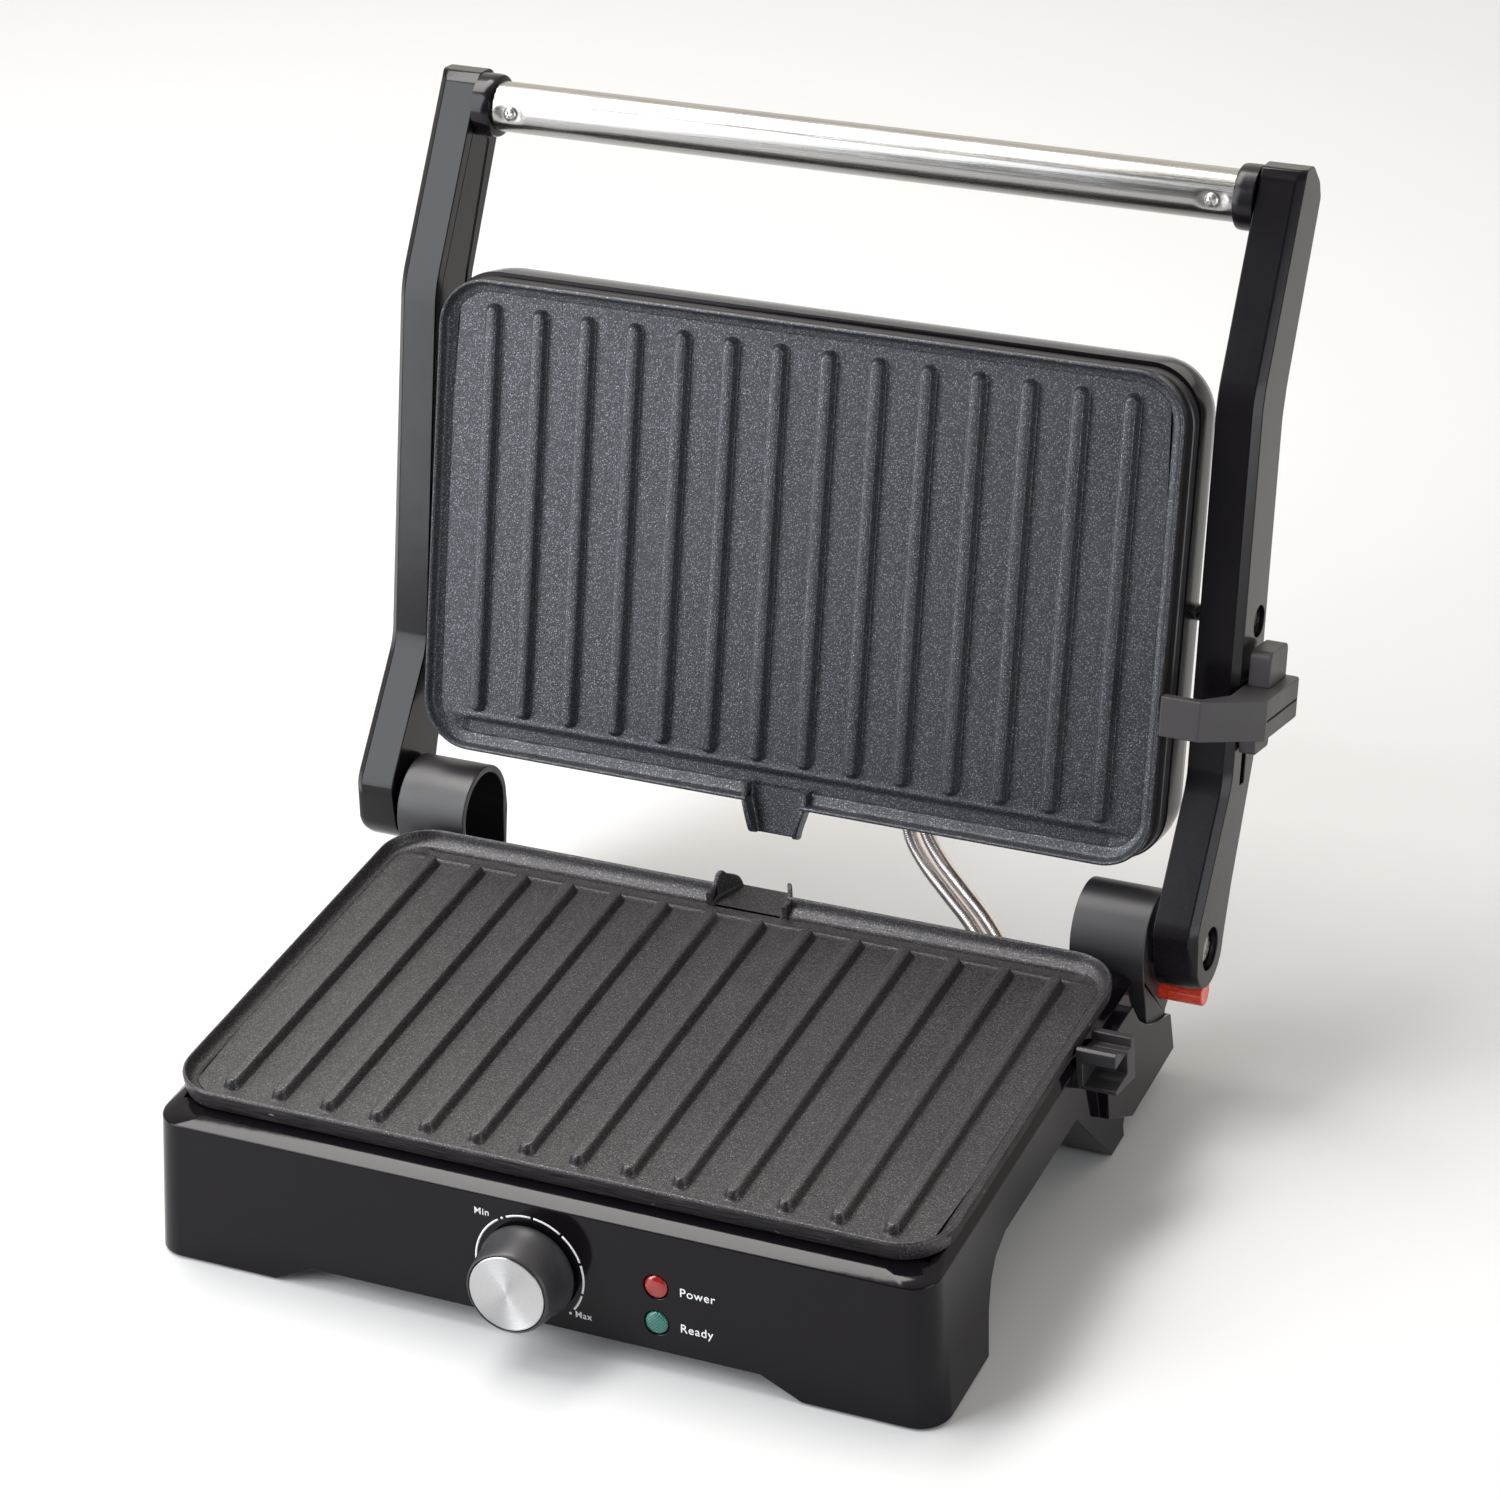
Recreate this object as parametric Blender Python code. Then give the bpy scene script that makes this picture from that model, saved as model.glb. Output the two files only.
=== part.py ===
"""Contact grill (panini press), standing open with its upper half leaning back.

Metres, +Z up. X runs along the front, Y runs from the front to the back.
Design coordinates are measured from the lower plate: x = 0 at its middle, y = 0 at
its front edge and z = 0 at the top of its rim. One empty puts them in the world.
"""

import bpy
import bmesh
import math
from mathutils import Matrix, Vector

# ---------------------------------------------------------------- driving dimensions
GAP = 0.0003                  # clearance between pieces that touch

RIM_HEIGHT = 0.068            # top of the lower plate's rim above the table
PLATE_MIDDLE_X = -0.0075      # places the whole object's box over the world origin
PLATE_FRONT_Y = -0.1565

PLATE_WIDTH = 0.310
PLATE_DEPTH = 0.1917
PLATE_WALL = 0.0080           # height of the plate's outer wall
PLATE_CORNER = 0.020
PLATE_FLOOR = -0.0050         # cooking floor below the rim
CHANNEL_FLOOR = -0.0068
RIB_COUNT = 14
RIB_PITCH = 0.02045
RIB_FRONT = 0.0095
RIB_BACK = 0.1765
RIB_TOP = -0.0012
SPOUT_WALL = 0.0020
LOWER_SPOUT = (               # (y, half width inside, top of the side walls)
    (0.1860, 0.0152, -0.0012), (0.1912, 0.0151, -0.0008), (0.1928, 0.0144, 0.0028),
    (0.1941, 0.0138, 0.0036), (0.1952, 0.0133, 0.0030), (0.1962, 0.0128, 0.0018),
    (0.2014, 0.0104, -0.0020), (0.2028, 0.0098, -0.0052),
)
UPPER_SPOUT = (               # goes between the lower spout's ears when closed
    (0.1860, 0.0118, -0.0012), (0.1912, 0.0117, -0.0008), (0.1935, 0.0111, -0.0006),
    (0.2020, 0.0087, -0.0010), (0.2038, 0.0084, -0.0018), (0.2050, 0.0082, -0.0045),
)

BASE_TOP_HALF = 0.1560        # half width of the base at the crease under the plate
BASE_FOOT_HALF = 0.1597
BASE_CREASE_Z = -0.0110
BASE_LEDGE_Z = -0.0083        # top of the sloping ledge round the plate
BASE_LEDGE_Y = -0.0019
BASE_LEDGE_INSET = 0.0037     # from the crease, at the sides
BASE_BOTTOM_Z = -0.0673       # moulded legs end here, the rubber feet stand proud
BASE_CREASE_Y = -0.0090
BASE_FOOT_Y = -0.0158
BASE_BACK_Y = 0.2228
BASE_WALL = 0.0025
COVER_LOW_Z = -0.0597
COVER_HIGH_Z = -0.0310
COVER_SHEET = 0.0020

HINGE_Y = 0.2150              # axis that the arms turn on
HINGE_Z = -0.0045
ARM_INNER_X = 0.1627
ARM_OUTER_X = 0.1800
ARM_CHAMFER = 0.0032
DRUM_RADIUS = 0.0195
DRUM_BORE = 0.0165            # the drums are hollow, open on their inner ends
DRUM_FLOOR_X = 0.1565         # inner face of the wall that carries the hinge screw
PILLAR_INNER_X = 0.1300
PILLAR_OUTER_X = 0.1600
PIN_RADIUS = 0.0040
FLOAT_BORE = 0.0038           # holes for the screws that the upper half swings on

OPEN_ANGLE = 73.29            # upper plate's lean from flat open, in degrees
REAR_EDGE_Y = 0.2136          # lower edge of the open upper plate
REAR_EDGE_Z = 0.0249
FLOAT_ALONG = 0.0958          # float pivot from that edge, along the plate
FLOAT_BEHIND = 0.0345         # and behind the plate's rim

HANDLE_Y = 0.3310
HANDLE_Z = 0.2537
HANDLE_RADIUS = 0.0100
HANDLE_WALL = 0.0008
HANDLE_HALF = 0.1542

SLIDE_LEAN = 15.7             # lean of the arms' middle stretch from upright, degrees
SLIDER_Y = 0.2463             # slider's middle, on the right arm's front face
SLIDER_Z = 0.0843
SLIDER_HEIGHT = 0.0155
SLOT_Y = 0.0160                # slot behind the arm's front face, and its depth in x
SLOT_FLOOR_X = 0.1745

BUTTON_Y = 0.2169
BUTTON_Z = -0.0269
BUTTON_RADIUS = 0.0050
BUTTON_TIP_X = 0.1772

PANEL_SLOPE = 6.8             # lean of the front panel, degrees
DIAL_X = 0.0
DIAL_Z = -0.0378
LENS_X = 0.0503
POWER_Z = -0.0333
READY_Z = -0.0481
LENS_RADIUS = 0.0045

CONDUIT_RADIUS = 0.0029
CONDUIT_SPACING = Vector((0.0063, 0.0012, 0.0030))
GLAND_X = -0.0900
GLAND_Z = -0.0470

SIDES = 24                    # sides of a small round piece


# ---------------------------------------------------------------- scene and materials
def clear_scene():
    for old in list(bpy.data.objects):
        bpy.data.objects.remove(old, do_unlink=True)


def material(name, colour, roughness, metallic=0.0, alpha=1.0):
    existing = bpy.data.materials.get(name)
    if existing:
        return existing
    made = bpy.data.materials.new(name)
    made.use_nodes = True
    shader = made.node_tree.nodes["Principled BSDF"]
    shader.inputs["Base Color"].default_value = (*colour, 1.0)
    shader.inputs["Roughness"].default_value = roughness
    shader.inputs["Metallic"].default_value = metallic
    shader.inputs["Alpha"].default_value = alpha
    made.diffuse_color = (*colour, alpha)
    return made


def gloss_black(name):
    return material(name, (0.012, 0.012, 0.014), 0.12)


def satin_black(name):
    return material(name, (0.035, 0.034, 0.036), 0.45)


def nonstick(name):
    return material(name, (0.030, 0.031, 0.034), 0.42)


def bare_steel(name):
    return material(name, (0.62, 0.61, 0.59), 0.32, 1.0)


def rubber(name):
    return material(name, (0.020, 0.020, 0.020), 0.85)


# ---------------------------------------------------------------- mesh helpers
def add_object(name, mesh_builder, finish, parent, location=(0, 0, 0), turn=(0, 0, 0)):
    """One object from a bmesh, with its faces turned outwards."""
    bmesh.ops.recalc_face_normals(mesh_builder, faces=mesh_builder.faces)
    mesh = bpy.data.meshes.new(name)
    mesh_builder.to_mesh(mesh)
    mesh_builder.free()
    mesh.shade_smooth()
    mesh.set_sharp_from_angle(angle=math.radians(35))
    made = bpy.data.objects.new(name, mesh)
    bpy.context.collection.objects.link(made)
    made.parent = parent
    made.location = location
    made.rotation_euler = turn
    if finish:
        mesh.materials.append(finish)
    return made


def add_empty(name, location, turn=(0, 0, 0), parent=None):
    made = bpy.data.objects.new(name, None)
    bpy.context.collection.objects.link(made)
    made.parent = parent
    made.location = location
    made.rotation_euler = turn
    return made


def loft(rings):
    """A closed solid through rings of points that have equal counts."""
    built = bmesh.new()
    loops = [[built.verts.new(point) for point in ring] for ring in rings]
    count = len(loops[0])
    for lower, upper in zip(loops, loops[1:]):
        for i in range(count):
            j = (i + 1) % count
            built.faces.new((lower[i], lower[j], upper[j], upper[i]))
    built.faces.new(list(reversed(loops[0])))
    built.faces.new(loops[-1])
    return built


def prism_x(outline, x_low, x_high):
    """A solid with a (y, z) outline, extruded along X."""
    return loft([[(x, y, z) for y, z in outline] for x in (x_low, x_high)])


def prism_y(outline, y_low, y_high):
    """A solid with an (x, z) outline, extruded along Y."""
    return loft([[(x, y, z) for x, z in outline] for y in (y_low, y_high)])


def box(low, high):
    (x0, y0, z0), (x1, y1, z1) = low, high
    return prism_x([(y0, z0), (y1, z0), (y1, z1), (y0, z1)], x0, x1)


def turned(profile, axis="Z", sides=SIDES):
    """A solid turned from (radius, height) points; the ends are flat discs."""
    rings = []
    for radius, height in profile:
        ring = []
        for i in range(sides):
            angle = 2 * math.pi * i / sides
            a = radius * math.cos(angle)
            b = radius * math.sin(angle)
            ring.append((height, a, b) if axis == "X" else (a, b, height))
        rings.append(ring)
    return loft(rings)


def turned_ring(profile, axis="Z", sides=SIDES):
    """A ring turned from a closed loop of (radius, height) points."""
    built = bmesh.new()
    loops = []
    for radius, height in profile:
        loop = []
        for i in range(sides):
            angle = 2 * math.pi * i / sides
            a = radius * math.cos(angle)
            b = radius * math.sin(angle)
            loop.append(built.verts.new((height, a, b) if axis == "X" else (a, b, height)))
        loops.append(loop)
    for here, after in zip(loops, loops[1:] + loops[:1]):
        for i in range(sides):
            j = (i + 1) % sides
            built.faces.new((here[i], here[j], after[j], after[i]))
    return built


def turned_tube(outer, inner, low, high, axis="Z", sides=SIDES):
    """A plain tube or washer with square ends."""
    profile = ((outer, low), (outer, high), (inner, high), (inner, low))
    return turned_ring(profile, axis, sides)


def rounded_rectangle(half_x, y_low, y_high, corner, steps=6):
    """Corner points of a rectangle that is centred in x, as (x, y)."""
    points = []
    centres = (
        (half_x - corner, y_low + corner, -90),
        (half_x - corner, y_high - corner, 0),
        (-half_x + corner, y_high - corner, 90),
        (-half_x + corner, y_low + corner, 180),
    )
    for x, y, start in centres:
        for i in range(steps + 1):
            angle = math.radians(start + 90 * i / steps)
            points.append((x + corner * math.cos(angle), y + corner * math.sin(angle)))
    return points


def rectangle_loft(levels, steps=6):
    """A solid through rounded rectangles: (z, half_x, y_low, y_high, corner)."""
    rings = []
    for z, half_x, y_low, y_high, corner in levels:
        plan = rounded_rectangle(half_x, y_low, y_high, corner, steps)
        rings.append([(x, y, z) for x, y in plan])
    return loft(rings)


def arc(centre, radius, start, end, steps):
    """Points on an arc in the (y, z) plane, angles in degrees from +Y."""
    points = []
    for i in range(steps + 1):
        angle = math.radians(start + (end - start) * i / steps)
        points.append((centre[0] + radius * math.cos(angle), centre[1] + radius * math.sin(angle)))
    return points


def inset(outline, amount):
    """The outline moved inwards by an amount, for an outline that runs clockwise."""
    moved = []
    count = len(outline)
    for i in range(count):
        before = Vector(outline[i - 1])
        here = Vector(outline[i])
        after = Vector(outline[(i + 1) % count])
        first = (here - before).normalized()
        second = (after - here).normalized()
        first_in = Vector((first.y, -first.x))
        second_in = Vector((second.y, -second.x))
        corner = (first_in + second_in).normalized()
        reach = amount / max(0.3, corner.dot(first_in))
        moved.append(tuple(here + corner * reach))
    return moved


def sweep(points, radius, sides=10):
    """A round rod along a list of points, with flat ends."""
    path = [Vector(p) for p in points]
    rings = []
    side = Vector((1, 0, 0))
    for i, here in enumerate(path):
        ahead = path[min(i + 1, len(path) - 1)] - path[max(i - 1, 0)]
        ahead.normalize()
        side = side - ahead * side.dot(ahead)
        if side.length < 1e-4:
            side = ahead.orthogonal()
        side.normalize()
        up = ahead.cross(side)
        ring = []
        for k in range(sides):
            angle = 2 * math.pi * k / sides
            ring.append(here + radius * (math.cos(angle) * side + math.sin(angle) * up))
        rings.append(ring)
    return loft(rings)


def smooth_path(points, steps):
    """A Catmull-Rom curve through the points."""
    path = [Vector(p) for p in points]
    ends = [2 * path[0] - path[1]] + path + [2 * path[-1] - path[-2]]
    made = []
    for i in range(1, len(ends) - 2):
        a, b, c, d = ends[i - 1:i + 3]
        for k in range(steps):
            t = k / steps
            made.append(
                0.5 * (2 * b + (c - a) * t + (2 * a - 5 * b + 4 * c - d) * t ** 2
                       + (3 * b - a - 3 * c + d) * t ** 3)
            )
    made.append(path[-1])
    return made


def joined(target, tool, operation):
    """Adds a Boolean that keeps its tool as a hidden wire object."""
    tool.hide_render = True
    tool.display_type = "WIRE"
    change = target.modifiers.new(tool.name, "BOOLEAN")
    change.operation = operation
    change.solver = "EXACT"
    change.object = tool


def cut(target, built, parent, location=(0, 0, 0), turn=(0, 0, 0)):
    count = len(target.modifiers)
    tool = add_object(f"{target.name}_cut_{count}", built, None, parent, location, turn)
    joined(target, tool, "DIFFERENCE")


def fuse(target, built, parent, location=(0, 0, 0), turn=(0, 0, 0)):
    count = len(target.modifiers)
    tool = add_object(f"{target.name}_add_{count}", built, None, parent, location, turn)
    joined(target, tool, "UNION")


# ---------------------------------------------------------------- frames of reference
class Frames:
    """The empties that the bodies hang on; each lies on its joint's axis."""

    def __init__(self):
        place = (PLATE_MIDDLE_X, PLATE_FRONT_Y, RIM_HEIGHT)
        lean = math.radians(OPEN_ANGLE)
        along = Vector((0, math.cos(lean), math.sin(lean)))
        behind = Vector((0, math.sin(lean), -math.cos(lean)))
        edge = Vector((0, REAR_EDGE_Y, REAR_EDGE_Z))
        self.float_point = edge + along * FLOAT_ALONG + behind * FLOAT_BEHIND
        slope = math.radians(PANEL_SLOPE)
        self.base = add_empty("frame_base", place)
        self.arms = add_empty("frame_arms", (0, HINGE_Y, HINGE_Z), parent=self.base)
        self.housing = add_empty("frame_housing", self.float_point, (lean, 0, 0), self.base)
        self.slider = add_empty(
            "frame_slider", (0, SLIDER_Y, SLIDER_Z), (-math.radians(SLIDE_LEAN), 0, 0), self.base
        )
        self.dial = add_empty(
            "frame_dial", (DIAL_X, panel_y(DIAL_Z), DIAL_Z), (math.pi / 2 - slope, 0, 0), self.base
        )
        self.button = add_empty("frame_button", (0, BUTTON_Y, BUTTON_Z), parent=self.base)


def panel_y(z):
    """Front face of the base at a height."""
    t = (z - BASE_CREASE_Z) / (BASE_BOTTOM_Z - BASE_CREASE_Z)
    return BASE_CREASE_Y + t * (BASE_FOOT_Y - BASE_CREASE_Y)


# ---------------------------------------------------------------- plates
def rib_solid(x):
    """One rib: a long bar with round ends and sloping sides."""
    levels = ((PLATE_FLOOR - 0.0006, 0.0032), (RIB_TOP - 0.0010, 0.0021), (RIB_TOP, 0.0013))
    rings = []
    for z, half in levels:
        shrink = 0.0032 - half
        plan = rounded_rectangle(half, RIB_FRONT + shrink, RIB_BACK - shrink, half * 0.98, 3)
        rings.append([(x + px, py, z) for px, py in plan])
    return loft(rings)


def spout_solid(stations):
    """The pouring spout at the plate's back edge: a trough that narrows to its tip."""
    rings = []
    for y, half, top in stations:
        outer = half + SPOUT_WALL
        outline = (
            (-outer, -PLATE_WALL), (outer, -PLATE_WALL), (outer, top), (half, top),
            (half - 0.0006, CHANNEL_FLOOR), (-half + 0.0006, CHANNEL_FLOOR),
            (-half, top), (-outer, top),
        )
        rings.append([(x, y, z) for x, z in outline])
    return loft(rings)


def grill_plate(name, parent, location, turn, pad, spout):
    """A cast plate with a rim, lengthwise ribs, a drain channel and a spout."""
    half = PLATE_WIDTH / 2
    body = rectangle_loft((
        (-PLATE_WALL, half - 0.0008, 0.0008, PLATE_DEPTH - 0.0008, PLATE_CORNER),
        (-0.0008, half, 0, PLATE_DEPTH, PLATE_CORNER),
        (0, half - 0.0004, 0.0004, PLATE_DEPTH - 0.0004, PLATE_CORNER),
    ))
    plate = add_object(name, body, nonstick(name), parent, location, turn)
    pad_edge = 0.0120
    below = rectangle_loft((
        (-PLATE_WALL - pad, half - pad_edge, pad_edge, PLATE_DEPTH - pad_edge, 0.012),
        (-PLATE_WALL + 0.0020, half - pad_edge, pad_edge, PLATE_DEPTH - pad_edge, 0.012),
    ))
    fuse(plate, below, parent, location, turn)
    pocket = rectangle_loft((
        (PLATE_FLOOR, half - 0.0044, 0.0044, PLATE_DEPTH - 0.0044, PLATE_CORNER - 0.0044),
        (-0.0006, half - 0.0018, 0.0018, PLATE_DEPTH - 0.0018, PLATE_CORNER - 0.0018),
        (0.0020, half - 0.0014, 0.0014, PLATE_DEPTH - 0.0014, PLATE_CORNER - 0.0014),
    ))
    cut(plate, pocket, parent, location, turn)
    channel = rectangle_loft((
        (CHANNEL_FLOOR, 0.1385, 0.1812, 0.1868, 0.0026),
        (PLATE_FLOOR + 0.0005, 0.1405, 0.1786, 0.1880, 0.0040),
    ), 3)
    cut(plate, channel, parent, location, turn)
    for i in range(RIB_COUNT):
        x = (i - (RIB_COUNT - 1) / 2) * RIB_PITCH
        fuse(plate, rib_solid(x), parent, location, turn)
    fuse(plate, spout_solid(spout), parent, location, turn)
    spout_half = spout[0][1]
    mouth = box((-spout_half + 0.0003, 0.1830, CHANNEL_FLOOR + 0.0001),
                (spout_half - 0.0003, PLATE_DEPTH + 0.0002, 0.0100))
    cut(plate, mouth, parent, location, turn)
    return plate


def heating_element(name, parent, z, location=(0, 0, 0), turn=(0, 0, 0)):
    """A sheathed heating rod, bent into a loop under its plate."""
    corners = (
        (-0.016, 0.150), (-0.070, 0.150), (-0.105, 0.142), (-0.112, 0.098), (-0.105, 0.052),
        (-0.070, 0.042), (0.070, 0.042), (0.105, 0.052), (0.112, 0.098), (0.105, 0.142),
        (0.070, 0.150), (0.016, 0.150),
    )
    path = smooth_path([(x, y, z) for x, y in corners], 4)
    return add_object(name, sweep(path, 0.0033, 8), bare_steel(name), parent, location, turn)


def reflector(name, parent, z_top, z_low, location=(0, 0, 0), turn=(0, 0, 0)):
    """A thin aluminised tray behind the heating rod, open towards the plate."""
    sheet = 0.0008
    outer = rectangle_loft((
        (z_low, 0.134, 0.022, 0.172, 0.010),
        (z_top, 0.138, 0.018, 0.176, 0.012),
    ), 3)
    tray = add_object(name, outer, bare_steel(name), parent, location, turn)
    inner = rectangle_loft((
        (z_low + sheet, 0.134 - sheet, 0.022 + sheet, 0.172 - sheet, 0.010),
        (z_top + 0.001, 0.138 - sheet, 0.018 + sheet, 0.176 - sheet, 0.012),
    ), 3)
    cut(tray, inner, parent, location, turn)
    return tray


# ---------------------------------------------------------------- base
def side_block_outline():
    """The block at each rear corner of the base, hollowed under the arms."""
    return (
        (0.1500, -0.0440), (0.1500, -0.0110), (0.1780, -0.0110), (0.1850, -0.0220),
        (0.1930, -0.0290), (0.2050, -0.0360), (0.2198, -0.0416), (0.2226, -0.0594),
        (0.1755, -0.0600),
    )


def step_block():
    """The stepped height stop on the right side, with a pocket in its front."""
    outline = (
        (0.1335, -0.0200), (0.1335, -0.0028), (0.1350, -0.0022), (0.1395, -0.0048),
        (0.1400, -0.0068), (0.1500, -0.0094), (0.1504, -0.0052), (0.1540, -0.0058),
        (0.1540, -0.0250),
    )
    return prism_x(outline, PLATE_WIDTH / 2 + 0.0007, 0.1715)


def base_shell(frames):
    """The moulded base: front panel, sloping ledge, sides and legs in one piece."""
    finish = gloss_black("base_shell")
    outer = rectangle_loft((
        (BASE_BOTTOM_Z, BASE_FOOT_HALF, BASE_FOOT_Y, BASE_BACK_Y, 0.0120),
        (BASE_CREASE_Z, BASE_TOP_HALF, BASE_CREASE_Y, BASE_BACK_Y - 0.004, 0.0110),
        (BASE_LEDGE_Z, BASE_TOP_HALF - BASE_LEDGE_INSET, BASE_LEDGE_Y, BASE_BACK_Y - 0.010, 0.0180),
    ))
    shell = add_object("base_shell", outer, finish, frames.base)
    for low, high in ((0.1500, 0.1620), (-0.1620, -0.1500)):
        fuse(shell, prism_x(side_block_outline(), low, high), frames.base)
    fuse(shell, step_block(), frames.base)

    clear = 0.0800            # reach of the cutters beyond the base
    under = -clear
    front_gap = ((-0.1066, under), (-0.1066, BASE_BOTTOM_Z), (-0.0905, COVER_LOW_Z),
                 (0.0905, COVER_LOW_Z), (0.1066, BASE_BOTTOM_Z), (0.1066, under))
    cut(shell, prism_y(front_gap, -0.03, 0.30), frames.base)
    arch = [(0.0310, under), (0.0310, BASE_BOTTOM_Z), (0.0355, -0.0500), (0.0405, -0.0400),
            (0.0465, -0.0340), (0.0570, -0.0305), (0.1290, -0.0312), (0.1582, BASE_BOTTOM_Z),
            (0.1582, under)]
    cut(shell, prism_x(arch, -0.20, 0.20), frames.base)
    tail = ((0.1722, under), (0.1722, -0.0625), (0.1745, -0.0600), (0.2600, -0.0600),
            (0.2600, under))
    cut(shell, prism_x(tail, -0.20, 0.20), frames.base)
    cut(shell, box((-0.1400, 0.1200, under), (0.1400, 0.2600, -0.0600)), frames.base)
    slope = ((0.1940, 0.0200), (0.1940, -0.0275), (0.2050, -0.0352), (0.2600, -0.0560),
             (0.2600, 0.0200))
    cut(shell, prism_x(slope, -0.20, 0.20), frames.base)

    hollow_top = BASE_CREASE_Z - 0.0008
    inner_half = BASE_TOP_HALF - BASE_WALL
    cut(shell, rectangle_loft((
        (-0.0285, inner_half + 0.001, BASE_CREASE_Y + BASE_WALL, 0.1915, 0.009),
        (hollow_top, inner_half, BASE_CREASE_Y + BASE_WALL, 0.1915, 0.009),
    ), 4), frames.base)
    cut(shell, box((-0.1495, 0.0050, -0.0250), (0.1495, 0.1880, 0.0100)), frames.base)
    pit_floor = -0.0577
    cut(shell, rectangle_loft((
        (pit_floor, 0.1565, panel_y(pit_floor) + BASE_WALL, 0.0285, 0.006),
        (-0.0275, 0.1550, panel_y(-0.0275) + BASE_WALL, 0.0400, 0.006),
    ), 3), frames.base)
    rear_pit = ((0.1585, pit_floor), (0.1330, -0.0270), (0.1915, -0.0270), (0.1925, -0.0310),
                (0.2040, -0.0385), (0.2185, -0.0435), (0.2198, pit_floor))
    cut(shell, prism_x(rear_pit, -0.1560, 0.1560), frames.base)
    cut(shell, prism_x(cover_outline(GAP, -clear), -0.0880, 0.0880), frames.base)
    cut(shell, box((0.1585, 0.1300, -0.0182), (0.1800, 0.1460, -0.0082)), frames.base)

    for side in (-1, 1):
        low, high = sorted((side * (PILLAR_INNER_X - GAP), side * (PILLAR_OUTER_X + GAP)))
        cut(shell, box((low, 0.1970, -0.0560), (high, 0.2190, 0.0100)), frames.base)
        seat = turned(((0.0093, -0.0750), (0.0093, -0.0652)))
        cut(shell, seat, frames.base, (side * 0.1350, 0.0080, 0))
        seat = turned(((0.0053, -0.0750), (0.0053, -0.0652)))
        cut(shell, seat, frames.base, (side * 0.1500, 0.1655, 0))

    spindle_hole = turned(((0.0040, -0.0080), (0.0040, 0.0060)))
    cut(shell, spindle_hole, frames.dial)
    quarter = (math.pi / 2, 0, 0)
    for z in (POWER_Z, READY_Z):
        hole = turned(((LENS_RADIUS + GAP, -0.0100), (LENS_RADIUS + GAP, 0.0100)))
        cut(shell, hole, frames.base, (LENS_X, panel_y(z), z), quarter)
    gland_hole = turned(((0.0058, -0.0100), (0.0058, 0.0100)))
    cut(shell, gland_hole, frames.base, (GLAND_X, BASE_BACK_Y, GLAND_Z), quarter)
    for route in conduit_routes():
        cut(shell, sweep(route[-7:], CONDUIT_RADIUS + 2 * GAP, 12), frames.base)
    return shell


def cover_outline(margin, under=None):
    """Side outline of the stepped bottom cover, or of the room cut for it."""
    low, high = COVER_LOW_Z, COVER_HIGH_Z
    sheet = COVER_SHEET + margin
    top = [
        (-0.0105 - margin, low + sheet), (0.0265 - margin, low + sheet),
        (0.0330 - margin, high + sheet), (0.1280 + margin, high + sheet),
        (0.1345 + margin, low + sheet), (0.2150 + margin, low + sheet),
    ]
    if under is not None:
        return top + [(0.2150 + margin, under), (-0.0105 - margin, under)]
    bottom = [
        (0.2150, low), (0.1330, low), (0.1265, high), (0.0345, high), (0.0280, low),
        (-0.0105, low),
    ]
    return top + bottom


def bottom_cover(frames):
    cover = add_object(
        "base_bottom_cover", prism_x(cover_outline(0.0), -0.0876, 0.0876),
        satin_black("base_bottom_cover"), frames.base,
    )
    for i in range(6):
        x = -0.050 + 0.020 * i
        cut(cover, box((x - 0.002, 0.060, -0.04), (x + 0.002, 0.100, -0.02)), frames.base)


def feet(frames):
    places = (
        ("foot_front_left", -0.1350, 0.0080, 0.0090),
        ("foot_front_right", 0.1350, 0.0080, 0.0090),
        ("foot_rear_left", -0.1500, 0.1655, 0.0050),
        ("foot_rear_right", 0.1500, 0.1655, 0.0050),
    )
    for name, x, y, radius in places:
        pad = turned(((radius - 0.0004, -RIM_HEIGHT), (radius, -RIM_HEIGHT + 0.0006),
                      (radius, -0.0656)))
        add_object(name, pad, rubber(name), frames.base, (x, y, 0))


def hinge_pillar(name, frames, side):
    """A drum-topped post that carries one end of the arms' axis."""
    def span(a, b):
        return sorted((side * a, side * b))

    low, high = span(PILLAR_INNER_X, PILLAR_OUTER_X)
    drum = turned(((DRUM_RADIUS, low), (DRUM_RADIUS, high)), "X", 40)
    pillar = add_object(name, drum, satin_black(name), frames.arms)
    fuse(pillar, prism_x(post_outline(), low, high), frames.base)
    bore_low, bore_high = span(PILLAR_INNER_X - 0.0100, DRUM_FLOOR_X)
    bore = turned(((DRUM_BORE, bore_low), (DRUM_BORE, bore_high)), "X", 36)
    cut(pillar, bore, frames.arms)
    hollow = ((HINGE_Y - DRUM_BORE + 0.0005, -0.0180), (HINGE_Y - DRUM_BORE, HINGE_Z),
              (HINGE_Y + DRUM_BORE, HINGE_Z), (HINGE_Y + DRUM_BORE - 0.0002, -0.0180))
    cut(pillar, prism_x(hollow, bore_low, bore_high), frames.base)
    hole_low, hole_high = span(PILLAR_INNER_X - 0.0100, PILLAR_OUTER_X + 0.0100)
    hole = turned(((PIN_RADIUS + GAP, hole_low), (PIN_RADIUS + GAP, hole_high)), "X")
    cut(pillar, hole, frames.arms)
    return pillar


def post_outline():
    """Side outline of the post under the drum, down into the base."""
    return (
        (0.1975, -0.0555), (0.2185, -0.0555), (0.2185, -0.0395), (0.2290, -0.0330),
        (0.2343, -0.0120), (0.2344, HINGE_Z), (0.1956, HINGE_Z), (0.1957, -0.0120),
        (0.1975, -0.0250),
    )


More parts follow.
